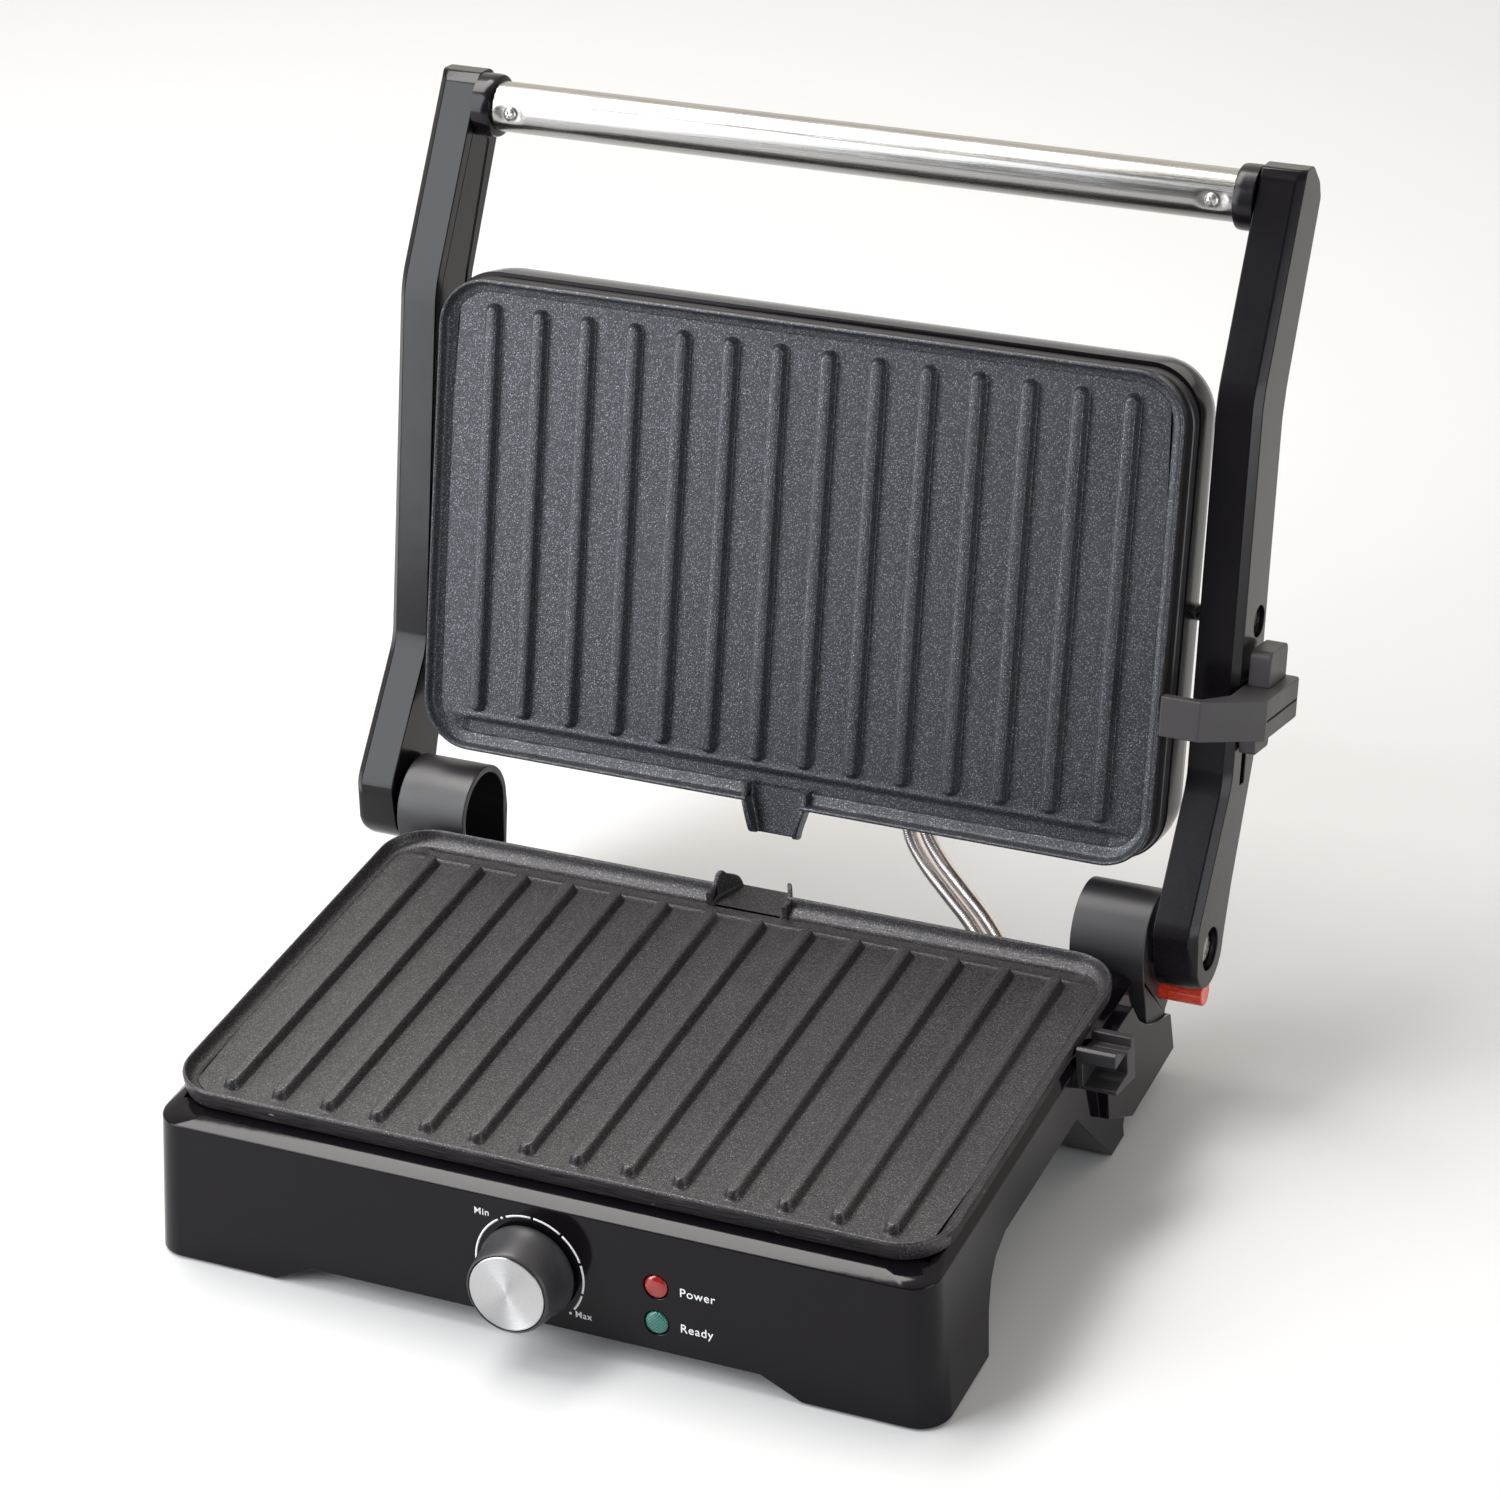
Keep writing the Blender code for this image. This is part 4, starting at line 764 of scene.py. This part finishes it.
# ---------------------------------------------------------------- base
def base_moulding():
    """Front panel, ledge, sides and legs, hollow inside."""
    crease = 0.0006
    rounding = ((-1, 0.00003, -0.00006, 0.004, 0.0112), (-0.35, -0.0001, 0.00008, 0.0041, 0.0112),
                (0.15, -0.0003, 0.0004, 0.0044, 0.0113), (0.8, -0.0008, 0.0014, 0.005, 0.0118))
    levels = [
        (BASE_BOTTOM_Z, BASE_FOOT_HALF, BASE_FOOT_Y, BASE_BACK_Y, 0.012),
        *((BASE_CREASE_Z + crease * up, BASE_TOP_HALF + out, BASE_CREASE_Y + back, BASE_BACK_Y - inset, corner)
          for up, out, back, inset, corner in rounding),
        (BASE_LEDGE_Z - 0.0002, BASE_TOP_HALF - 0.0034, -0.0024, BASE_BACK_Y - 0.0096, 0.017),
        (BASE_LEDGE_Z, BASE_TOP_HALF - 0.0037, -0.0019, BASE_BACK_Y - 0.01, 0.0176),
    ]
    shell = add("base_moulding", rectangle_loft(levels, 12), GLOSS, BASE)
    side_block = mm((150, -44), (150, -11), (178, -11), (185, -22), (193, -29), (205, -36), (219.8, -41.6),
                    (222.6, -59.4), (175.5, -60))
    for low, high in ((0.15, 0.162), (-0.162, -0.15)):
        fuse(shell, prism_x(side_block, low, high), BASE)
    under = -0.08
    front_gap = ((-0.1066, under), (-0.1066, BASE_BOTTOM_Z), (-0.0905, COVER_LOW_Z), (0.0905, COVER_LOW_Z),
                 (0.1066, BASE_BOTTOM_Z), (0.1066, under))
    cut(shell, prism_y(front_gap, -0.03, 0.3), BASE)
    arch = ((0.031, under), (0.031, BASE_BOTTOM_Z), (0.0355, -0.05), (0.0405, -0.04), (0.0465, -0.034),
            (0.057, -0.0305), (0.129, -0.0312), (0.1582, BASE_BOTTOM_Z), (0.1582, under))
    cut(shell, prism_x(arch, -0.2, 0.2), BASE)
    tail = ((0.1722, under), (0.1722, -0.0625), (0.1745, -0.06), (0.26, -0.06), (0.26, under))
    cut(shell, prism_x(tail, -0.2, 0.2), BASE)
    cut(shell, box((-0.14, 0.12, under), (0.14, 0.26, -0.06)), BASE)
    slope = mm((194, 20), (194, -27.5), (205, -35.2), (260, -56), (260, 20))
    cut(shell, prism_x(slope, -0.2, 0.2), BASE)
    cut(shell, box((-0.1495, 0.005, -0.025), (0.1495, 0.188, 0.01)), BASE)
    pit = rectangle_loft((
        (-0.0577, 0.156, panel_y(-0.0577) + 0.003, 0.0285, 0.006),
        (-0.02, 0.15, panel_y(-0.0275) + 0.004, 0.04, 0.006),
    ), 3)
    cut(shell, pit, BASE)
    rear_pit = mm((158.5, -57.7), (133, -27), (191.5, -27), (192.5, -31), (204, -38.5), (218.5, -43.5),
                  (219.8, -57.7))
    cut(shell, prism_x(rear_pit, -0.156, 0.156), BASE)
    cut(shell, box((-0.088, -0.011, -0.076), (0.088, 0.2155, -0.0574)), BASE)
    for side in (-1, 1):
        low, high = sorted((side * (PILLAR_INNER_X - 0.0003), side * (PILLAR_OUTER_X + 0.0003)))
        cut(shell, box((low, 0.197, -0.056), (high, 0.219, 0.01)), BASE)
    for z in (POWER_Z, READY_Z):
        cut(shell, rod(LENS_RADIUS + 0.0004, -0.01, 0.01, 32, "Z"), placed(LENS_X, panel_y(z), z, 90))
    cut(shell, rod(0.0058, -0.01, 0.01, 24, "Z"), placed(-0.09, BASE_BACK_Y, -0.047, 90))
    for route in conduit_routes():
        cut(shell, sweep(route[-7:], CONDUIT_HOLE_RADIUS, 12), BASE)
    soften(shell, 0.0005, 3, 36)
    piece(shell, "base", "gloss_black_plastic", "base_shell")


def height_stop():
    """The stepped block beside the plate, whose front pocket takes the slider's blade."""
    outline = rounded(mm(
        (133.5, -20), (133.5, -2.8), (135, -2.2), (139.5, -4.8), (140, -6.8), (150, -9.4), (150.4, -5.2),
        (154, -5.8), (154, -25),
    ), (0.0, 0.0006, 0.0006, 0.0006, 0.0006, 0.0006, 0.0006, 0.0004, 0.0), 4)
    block = add("height_stop", prism_x(outline, PLATE_WIDTH / 2 + 0.0007, 0.1715), SATIN, BASE)
    cut(block, box((0.1585, 0.125, -0.0182), (0.18, 0.146, -0.0082)), BASE)
    soften(block, 0.0004, 3, 40)
    piece(block, "base", "gloss_black_plastic", "base_shell")


def conduit_routes():
    corners = mm(
        (45.5, 244, 26), (45.5, 242.5, 15), (47, 240.5, 4), (54, 237.5, -6), (65, 232.5, -14.5),
        (76.5, 226.5, -22), (86, 220, -30), (91.5, 214, -39), (93, 211, -49),
    )
    first = smooth_path(corners, 5)
    second = [point + Vector((0.0063, 0.0012, 0.003)) for point in first]
    return first, second


def pillars():
    """Drum-topped posts at the hinge."""
    post = rounded((
        (0.1975, -0.0555), (0.2185, -0.0555), (0.2185, -0.0395), (0.229, -0.033), (0.2343, -0.012),
        (0.2344, HINGE_Z), (0.1956, HINGE_Z), (0.1957, -0.012), (0.1975, -0.025),
    ), (0.0, 0.0, 0.002, 0.006, 0.006, 0.0, 0.0, 0.006, 0.006), 5)
    for label, side in (("left", -1), ("right", 1)):
        low, high = sorted((side * PILLAR_INNER_X, side * PILLAR_OUTER_X))
        made = add(f"pillar_{label}", rod(DRUM_RADIUS, low, high, 96), SATIN, ARMS)
        fuse(made, prism_x(post, low, high), BASE)
        low, high = sorted((side * 0.12, side * 0.1565))
        cut(made, rod(DRUM_HOLLOW_RADIUS, low, high, 96), ARMS)
        hollow = ((HINGE_Y - 0.015, DRUM_HOLLOW_LOW_Z), (HINGE_Y - DRUM_HOLLOW_RADIUS, HINGE_Z),
                  (HINGE_Y + DRUM_HOLLOW_RADIUS, HINGE_Z), (HINGE_Y + 0.013, DRUM_HOLLOW_LOW_Z))
        cut(made, prism_x(hollow, low, high), BASE)
        low, high = sorted((side * 0.1, side * 0.2))
        cut(made, rod(HINGE_BORE_RADIUS, low, high, 24), ARMS)
        if side > 0:
            cut(made, rod(0.0053, 0.15, 0.17, 32), BUTTON)
            cut(made, rod(0.0075, 0.12, 0.1566, 32), BUTTON)
        soften(made, 0.0005, 3, 40)
        piece(made, "base", "satin_black_plastic", f"hinge_pillar_{label}")


def red_button():
    r = 0.005
    profile = [(0.0001, 0.15), (r, 0.15), (r, 0.1766), (r - 0.00012, 0.1769), (r - 0.0004, 0.17712),
               (r - 0.0009, 0.1772), (r - 0.0014, 0.17715), (0.0015, 0.177), (0.0001, 0.177)]
    made = add("red_button", turned(profile, "X", 64), RED_BUTTON, BUTTON, 60)
    piece(made, "release_button", "red_plastic", "release_button")


base_moulding()
height_stop()
pillars()
red_button()


# ---------------------------------------------------------------- control panel
def knob():
    """Flared skirt, domed grip with a wedge pointer, and a spun disc set in its end."""
    profile = mm(
        (10, 1.2), (18, 1.2), (18.6, 1.5), (18.8, 2.2), (18.7, 3.4), (18.2, 5.2), (17.7, 8), (17.2, 12),
        (16.8, 15), (16.4, 17.2), (16.15, 18.1), (15.8, 18.5), (15.55, 18.6), (15.3, 18.4), (15.2, 17.8),
        (15.2, 16.6), (10, 16.6),
    )
    grip = add("knob", turned(profile, "Z", 128), KNOB, DIAL, 60)
    turn = Matrix.Rotation(math.radians(12), 4, "Z")
    wedge_rings = []
    for z, reach, half in mm((1.4, 21.2, 2.2), (5, 20.9, 1.9), (10, 19.8, 1.4), (14, 18.4, 0.9),
                             (15.8, 17.2, 0.5)):
        flank = ((-0.013, half * 2.2), (-reach + 0.0022, half * 1.25), (-reach + 0.0003, half * 0.42))
        wedge_rings.append([(x, -y, z) for x, y in flank] + [(x, y, z) for x, y in reversed(flank)])
    wedge = add("knob_pointer", loft(wedge_rings), KNOB, DIAL @ turn)
    soften(wedge, 0.00025, 2, 30)
    for made in (grip, wedge):
        piece(made, "dial", "satin_black_plastic", "dial_knob")
    face = mm((0.1, 16.8), (14.9, 16.8), (14.9, 18.3), (14.82, 18.6), (14.5, 18.72), (14.2, 18.68),
              (13.9, 18.6), (6, 18.6), (0.1, 18.6))
    disc = add("knob_disc", turned(face, "Z", 128), DISC, DIAL, 60)
    piece(disc, "dial", "dial_aluminium", "dial_disc")


def ring_segment(radius, width, start, end):
    """A flat piece of the printed ring, angles in degrees."""
    steps = max(2, int(abs(end - start) / 4))
    outline = []
    for r, order in ((radius + width / 2, range(steps + 1)), (radius - width / 2, range(steps, -1, -1))):
        for i in order:
            angle = math.radians(start + (end - start) * i / steps)
            outline.append((r * math.cos(angle), r * math.sin(angle)))
    built = bmesh.new()
    low = [built.verts.new((x, y, INK_LOW)) for x, y in outline]
    high = [built.verts.new((x, y, INK_HIGH)) for x, y in outline]
    count = len(outline)
    for i in range(count):
        j = (i + 1) % count
        built.faces.new((low[i], low[j], high[j], high[i]))
    for i in range(steps):
        j = count - 1 - i
        built.faces.new((high[i], high[i + 1], high[j - 1], high[j]))
        built.faces.new((low[j], low[j - 1], low[i + 1], low[i]))
    return built


def word(name, text, x, z, size):
    """Plain function word as a thin raised print."""
    curve = bpy.data.curves.new(name, "FONT")
    curve.body = text
    curve.size = size
    curve.extrude = 0.00004
    curve.offset = 0.00002
    curve.space_character = 1.1
    holder = linked(name, curve)
    bpy.context.view_layer.update()
    mesh = bpy.data.meshes.new_from_object(holder.evaluated_get(bpy.context.evaluated_depsgraph_get()))
    bpy.data.objects.remove(holder, do_unlink=True)
    made = linked(name, mesh)
    mesh.materials.clear()
    mesh.materials.append(INK)
    made.matrix_world = DIAL @ Matrix.Translation((x, z - DIAL_Z, 0.00006))
    piece(made, "base", "gloss_black_plastic")


def join(built, part, shift=(0, 0, 0)):
    """Adds a bmesh to another one, moved by a shift."""
    mesh = bpy.data.meshes.new("part")
    part.to_mesh(mesh)
    part.free()
    mesh.transform(Matrix.Translation(shift))
    built.from_mesh(mesh)
    bpy.data.meshes.remove(mesh)


def prints():
    """The broken ring round the dial with its two dots, and the plain function words."""
    built = bmesh.new()
    for start, end in ((181, 124), (114, 87), (84, 54), (51, 20), (17, -14), (-17, -36)):
        join(built, ring_segment(RING_RADIUS, 0.00085, start, end))
    for angle in (119, -42.5):
        shift = (RING_RADIUS * math.cos(math.radians(angle)), RING_RADIUS * math.sin(math.radians(angle)), 0)
        join(built, rod(0.00055, INK_LOW, INK_HIGH, 20, "Z"), shift)
    ring = add("printed_ring", built, INK, DIAL, 0)
    piece(ring, "base", "gloss_black_plastic")
    word("print_min", "Min", -0.0218, -0.0193, 0.0039)
    word("print_max", "Max", 0.0178, -0.0535, 0.0037)
    word("print_power", "Power", 0.0596, POWER_Z - 0.0015, 0.0049)
    word("print_ready", "Ready", 0.0596, READY_Z - 0.0015, 0.0049)


def lenses():
    for label, z, finish, slot in (("power", POWER_Z, RED_LENS, "red_lens"),
                                   ("ready", READY_Z, GREEN_LENS, "green_lens")):
        dome = [(0.0001, -0.0036), (LENS_RADIUS, -0.0036), (LENS_RADIUS, -0.0005)]
        for i in range(1, 9):
            angle = math.radians(90 * i / 8)
            dome.append((max(0.0001, LENS_RADIUS * math.cos(angle)), -0.0005 + 0.0013 * math.sin(angle)))
        place = placed(LENS_X, panel_y(z), z, 90 - PANEL_SLOPE)
        made = add(f"lens_{label}", turned(dome, "Z", 48), finish, place, 60)
        piece(made, "base", slot, f"{label}_lens")


knob()
prints()
lenses()


# ---------------------------------------------------------------- arms, handle and slider
def arc(radius, start, end, steps):
    angles = [math.radians(start + (end - start) * i / steps) for i in range(steps + 1)]
    return [(radius * math.cos(angle), radius * math.sin(angle)) for angle in angles]


def arm_outline(chamfer):
    """Side outline about the hinge; the chamfer moves the front edge back."""
    def here(y, z, shift=1.0):
        return (y - HINGE_Y + chamfer * shift, z - HINGE_Z)

    end = arc(0.0163 - chamfer * 0.3, 345, 190, 16)
    front = [(here(0.1985, 0.01), 0.012), (here(0.2387, 0.0538), 0.022), (here(0.2773, 0.1967), 0.04),
             (here(0.327, 0.264), 0.006)]
    top = [(here(0.331, 0.2668, 0.3), 0.003), (here(0.34, 0.2655, 0), 0.006), (here(0.347, 0.256, 0), 0.006),
           (here(0.348, 0.249, 0), 0.003)]
    back = [(here(0.308, 0.19, 0), 0.03), (here(0.3025, 0.179, 0), 0.03), (here(0.272, 0.066, 0), 0.03),
            (here(0.268, 0.052, 0), 0.02), (here(0.24, 0.01, 0), 0.006)]
    outline, radii = zip(*front, *top, *back)
    full = rounded([end[-1], *outline, end[0]], [0.0, *radii, 0.0], 8)
    return end + full[1:-1]


def arm(label, side):
    levels = ((ARM_INNER_X, 0.0), (ARM_OUTER_X - ARM_CHAMFER, 0.0), (ARM_OUTER_X, ARM_CHAMFER))
    rings = [[(side * x, y, z) for y, z in arm_outline(lean)] for x, lean in levels]
    made = add(f"arm_{label}_moulding", loft(rings), GLOSS_ARM, ARMS)
    low, high = sorted((side * 0.1748, side * 0.185))
    cut(made, rod(0.0085, low, high, 48), ARMS)
    cut(made, rod(0.0062, low, high, 48), FLOAT_PIN)
    low, high = sorted((side * 0.16, side * (ARM_INNER_X + 0.0004)))
    mould_line = rounded([(y - HINGE_Y, z - HINGE_Z) for y, z in mm(
        (245.8, 64), (279.3, 188.5), (283.2, 196.5), (322, 248.5), (332.5, 237.8), (304, 192), (298.5, 180),
        (269, 69), (264, 56), (244, 54.5),
    )], 0.002, 3)
    cut(made, prism_x(mould_line, low, high), ARMS)
    if side > 0:
        cut(made, box((0.1745, 0.0135, -0.034), (0.19, 0.0185, 0.017)), SLIDER)
    soften(made, 0.00045, 3, 30)
    piece(made, "arms", "gloss_black_plastic", f"arm_{label}", f"arm_cover_{label}")


def tube_handle():
    """Steel tube, flattened a little round the screw at each end."""
    sides = 96
    xs = sorted({round(v, 6) for v in np.linspace(-HANDLE_HALF, HANDLE_HALF, 40)}
                | {round(s * (SCREW_X + o * MM), 6) for s in (-1, 1) for o in range(-9, 9)
                   if abs(SCREW_X + o * MM) < HANDLE_HALF})
    rings = []
    facing = math.radians(180 - 8)
    for x in xs:
        ring = []
        for k in range(sides):
            angle = 2 * math.pi * k / sides
            r = HANDLE_RADIUS
            across = r * math.sin(angle - facing)
            if math.cos(angle - facing) > 0:
                away = math.hypot(abs(x) - SCREW_X, across)
                press = 1 - float(smoothstep(0.0036, 0.007, away))
                flat = 0.0093 / max(0.3, math.cos(angle - facing))
                r = r + (min(r, flat) - r) * press
            ring.append((x, r * math.cos(angle), r * math.sin(angle)))
        rings.append(ring)
    inner = [[(x, y * 0.92, z * 0.92) for x, y, z in ring] for ring in (rings[-1], rings[0])]
    made = add("handle_bar", loft(rings + inner, closed=True), HANDLE_STEEL, HANDLE, 40)
    piece(made, "arms", "bare_steel", "handle_tube")


def handle_ends():
    """A collar at each end of the tube, and the cross-head screw that holds it."""
    profile = mm((8.8, 135), (8.8, 154.5), (11.7, 154.5), (12.2, 154.8), (12.5, 155.6), (12.6, 158),
                 (12.6, 162.4), (10, 162.4), (10, 155), (6, 155), (6, 135))
    head = mm((0.1, 6), (1.6, 6), (1.6, 9.2), (2.9, 9.2), (3, 9.6), (2.85, 10.1), (2.4, 10.6), (1.6, 11),
              (0.8, 11.2), (0.1, 11.2))
    for label, side in (("left", -1), ("right", 1)):
        ring = turned([(r, side * x) for r, x in profile], "X", 72, True)
        collar = add(f"collar_{label}", ring, GLOSS_ARM, HANDLE)
        piece(collar, "arms", "satin_black_plastic", f"handle_collar_{label}")
        at = placed(side * SCREW_X, HANDLE_Y, HANDLE_Z, 82)
        screw = add(f"screw_{label}", turned(head, "Z", 40), STEEL, at, 50)
        for quarter in (0, math.pi / 2):
            groove = [[(-x, -y, z), (x, -y, z), (x, y, z), (-x, y, z)]
                      for x, y, z in mm((1.5, 0.3, 10.2), (2.1, 0.45, 12))]
            cut(screw, loft(groove), at @ Matrix.Rotation(quarter + 0.35, 4, "Z"))
        smooth(screw, 40)
        piece(screw, "arms", "bare_steel", f"handle_screw_{label}")


def slider():
    """Height slider: a blade across the arm's front, a block at its side, and a thumb tab."""
    half = SLIDER_HEIGHT / 2
    plan = rounded(mm(
        (159, -26.9), (174.5, -26.9), (195.5, -11.4), (195.5, 30), (180.6, 30), (180.6, -10.5), (173, -22.2),
        (159, -22.2),
    ), (0.0006, 0.0, 0.0012, 0.003, 0.001, 0.002, 0.002, 0.0004), 5)
    made = add("slider", loft([[(x, y, z) for x, y in plan] for z in (-half, half)]), SATIN_SOFT, SLIDER)
    cut(made, box((0.1951, -0.0095, -0.0007), (0.197, 0.031, -0.0002)), SLIDER)
    soften(made, 0.0005, 3, 24)
    outline = rounded(((0.006, half - 0.0002), (0.006, 0.0215), (0.027, 0.0215), (0.027, half - 0.0002)),
                      (0.0, 0.0032, 0.0032, 0.0), 8)
    tab = add("slider_tab", prism_x(outline, 0.182, 0.1905), SATIN_SOFT, SLIDER)
    soften(tab, 0.0007, 4, 50)
    outline = rounded(((0.006, -0.019), (0.004, -half + 0.0002), (0.024, -half + 0.0002), (0.022, -0.019)),
                      (0.0015, 0.0, 0.0, 0.0015), 4)
    foot = add("slider_foot", prism_x(outline, 0.1806, 0.1872), SATIN_SOFT, SLIDER)
    soften(foot, 0.0005, 3, 40)
    for part in (made, tab, foot):
        piece(part, "height_slider", "satin_black_plastic", "height_slider")


arm("left", -1)
arm("right", 1)
tube_handle()
handle_ends()
slider()


# ---------------------------------------------------------------- upper half
def housing_z(behind):
    return FLOAT_BEHIND - behind


def upper_shells():
    """The surround behind the upper plate and the gloss cover over it."""
    low, high = 0.0006 - FLOAT_ALONG, PLATE_DEPTH - 0.0006 - FLOAT_ALONG
    levels = ((housing_z(0.0132), 0.1562, low + 0.0004, high - 0.0004, 0.02),
              (housing_z(0.0129), 0.1566, low, high, 0.02),
              (housing_z(0.0089), 0.1562, low + 0.0004, high - 0.0004, 0.02),
              (housing_z(0.0085), 0.1558, low + 0.0008, high - 0.0008, 0.02))
    ring = add("upper_surround", rectangle_loft(levels, 14), SATIN, HOUSING)
    hole = rectangle_loft(((housing_z(0.016), 0.1511, low + 0.0055, high - 0.0055, 0.0145),
                           (housing_z(0.006), 0.1511, low + 0.0055, high - 0.0055, 0.0145)))
    cut(ring, hole, HOUSING)
    smooth(ring, 35)
    piece(ring, "upper_housing", "satin_black_plastic", "upper_frame")
    low, high = -0.0004 - FLOAT_ALONG, PLATE_DEPTH + 0.0012 - FLOAT_ALONG
    sections = mm(
        (13.5, 156.6, 0.6, 21), (13.8, 157.1, 0.1, 21), (20, 157, 0.2, 21), (28, 156.7, 0.5, 21),
        (34, 155.9, 1.2, 21), (38.5, 154.3, 2.8, 21), (41, 151.5, 5.5, 20.5), (43, 149, 8, 20),
        (44.4, 145.5, 11.5, 19), (45.4, 141, 16, 18), (46.1, 134, 23, 16), (46.5, 120, 37, 12),
        (46.5, 90, 60, 8),
    )
    outer = rectangle_loft([(housing_z(n), h, low + e, high - e, c) for n, h, e, c in sections], 14)
    cover = add("upper_cover_shell", outer, GLOSS_COVER, HOUSING)
    inner_sections = mm((10, 155.2, 2, 19), (28, 153.6, 3.2, 19), (37, 151.2, 5.6, 18), (42, 144, 13, 16))
    inner = rectangle_loft([(housing_z(n), h, low + e, high - e, c) for n, h, e, c in inner_sections], 8)
    cut(cover, inner, HOUSING)
    cut(cover, rod(0.0038, -0.2, 0.2, 24), FLOAT_PIN)
    for route in conduit_routes():
        cut(cover, sweep(route[:9], CONDUIT_HOLE_RADIUS, 12), BASE)
    smooth(cover, 30)
    piece(cover, "upper_housing", "gloss_black_plastic", "upper_cover")


upper_shells()


# ---------------------------------------------------------------- steel conduits
def coil(route):
    """A close-wound steel conduit as a ridged tube along its route."""
    path = [Vector(p) for p in route]
    lengths = [0.0]
    for a, b in zip(path, path[1:]):
        lengths.append(lengths[-1] + (b - a).length)
    count = int(lengths[-1] / CONDUIT_PITCH) * 4
    points = []
    k = 0
    for i in range(count + 1):
        s = lengths[-1] * i / count
        while k < len(lengths) - 2 and lengths[k + 1] < s:
            k += 1
        t = (s - lengths[k]) / (lengths[k + 1] - lengths[k])
        points.append(path[k].lerp(path[k + 1], t))
    waves = (0.0, 0.55, 1.0, 0.55)
    return sweep(points, lambda i: CONDUIT_RADIUS - CONDUIT_RIDGE + CONDUIT_RIDGE * waves[i % 4], 16)


def conduits():
    for label, route in zip(("left", "right"), conduit_routes()):
        route = smooth_path(route, 3)
        middle = len(route) // 2
        halves = (("low", route[middle - 1:], "base", "arms"),
                  ("high", route[:middle + 1], "arms", "upper_housing"))
        for part, points, first, second in halves:
            made = add(f"conduit_{label}_{part}", coil(points), COIL, BASE, 60)
            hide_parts(f"conduit_{label}")
            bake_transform(made)


conduits()


# ---------------------------------------------------------------- finishes of the carried-over CAD pieces
CARRIED = {
    STEEL: ("hinge_pin_left", "hinge_pin_right", "hinge_nut_left", "hinge_nut_right", "hinge_washer_left",
            "hinge_washer_right", "float_pin_left", "float_pin_right", "release_spring", "dial_spindle",
            "lower_element", "upper_element", "thermal_fuse"),
    REFLECTOR: ("lower_reflector", "upper_reflector"),
    SATIN: ("base_bottom_cover", "button_spring_cap"),
    CERAMIC: ("thermostat_body", "terminal_block"),
    RUBBER: ("foot_front_left", "foot_front_right", "foot_rear_left", "foot_rear_right", "cord_gland"),
    LAMP: ("power_lamp", "ready_lamp"),
}
for finish, names in CARRIED.items():
    for name in names:
        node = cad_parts[name]
        for slot in node.material_slots:
            slot.material = finish


# ---------------------------------------------------------------- studio
def floor():
    paint = Paint("pale_floor", (0.6, 0.6, 0.6), 0.75)
    grain = paint.noise(40.0, 3.0)
    paint.roughness(paint.span(grain, 0.3, 0.7, 0.7, 0.85))
    made = bmesh.new()
    corners = [made.verts.new((x * 6.0, y * 6.0, -0.0002)) for x, y in ((-1, -1), (1, -1), (1, 1), (-1, 1))]
    made.faces.new(corners)
    sheet = add("floor", made, paint.made, Matrix.Identity(4), 0)


def softbox(name, place, target, size, power, colour):
    light = bpy.data.lights.new(name, "AREA")
    light.shape = "RECTANGLE"
    light.size, light.size_y = size
    light.energy = power
    light.color = colour
    made = linked(name, light)
    made.location = place
    direction = Vector(target) - Vector(place)
    made.rotation_euler = direction.to_track_quat("-Z", "Y").to_euler()


def studio():
    floor()
    world = bpy.data.worlds.new("studio")
    world.use_nodes = True
    bpy.context.scene.world = world
    nodes, links = world.node_tree.nodes, world.node_tree.links
    background = nodes["Background"]
    background.inputs["Strength"].default_value = 1.0
    direction = nodes.new("ShaderNodeTexCoord").outputs["Generated"]
    split = nodes.new("ShaderNodeSeparateXYZ")
    links.new(direction, split.inputs[0])
    ramp = nodes.new("ShaderNodeValToRGB")
    ramp.color_ramp.elements[0].position = 0.3
    ramp.color_ramp.elements[0].color = (0.17, 0.175, 0.185, 1.0)
    ramp.color_ramp.elements[1].position = 0.95
    ramp.color_ramp.elements[1].color = (1.25, 1.18, 1.08, 1.0)
    shift = nodes.new("ShaderNodeMapRange")
    shift.inputs["From Min"].default_value = -1.0
    links.new(split.outputs["Y"], shift.inputs["Value"])
    links.new(shift.outputs["Result"], ramp.inputs["Fac"])
    links.new(ramp.outputs["Color"], background.inputs["Color"])
    softbox("softbox_top", (-0.8, 0.25, 1.85), (0, -0.05, 0.05), (1.6, 0.62), 43.0, (1.0, 0.98, 0.955))
    softbox("softbox_left", (-0.98, -0.95, 0.82), (-0.1, 0.1, 0.15), (0.8, 1.6), 29.0, (0.93, 0.965, 1.0))
    softbox("softbox_right", (1.3, -0.42, 0.42), (0.1, 0.05, 0.15), (0.7, 0.8), 7.0, (0.95, 0.98, 1.0))
    bpy.context.scene.view_settings.view_transform = "Standard"


def camera():
    azimuth, elevation, roll = (math.radians(v) for v in (26.12, 31.06, 4.09))
    level = math.cos(elevation)
    forward = Vector((-math.sin(azimuth) * level, math.cos(azimuth) * level, -math.sin(elevation)))
    right = forward.cross(Vector((0, 0, 1))).normalized()
    down = forward.cross(right)
    across = math.cos(roll) * right + math.sin(roll) * down
    drop = -math.sin(roll) * right + math.cos(roll) * down
    lens = bpy.data.cameras.new("camera")
    lens.lens = 108.3
    lens.sensor_width = 36.0
    made = linked("camera", lens)
    axes = Matrix((across, -drop, -forward)).transposed().to_4x4()
    made.matrix_world = Matrix.Translation((0.64753, -1.29453, 1.02381)) @ axes
    bpy.context.scene.camera = made


studio()
camera()
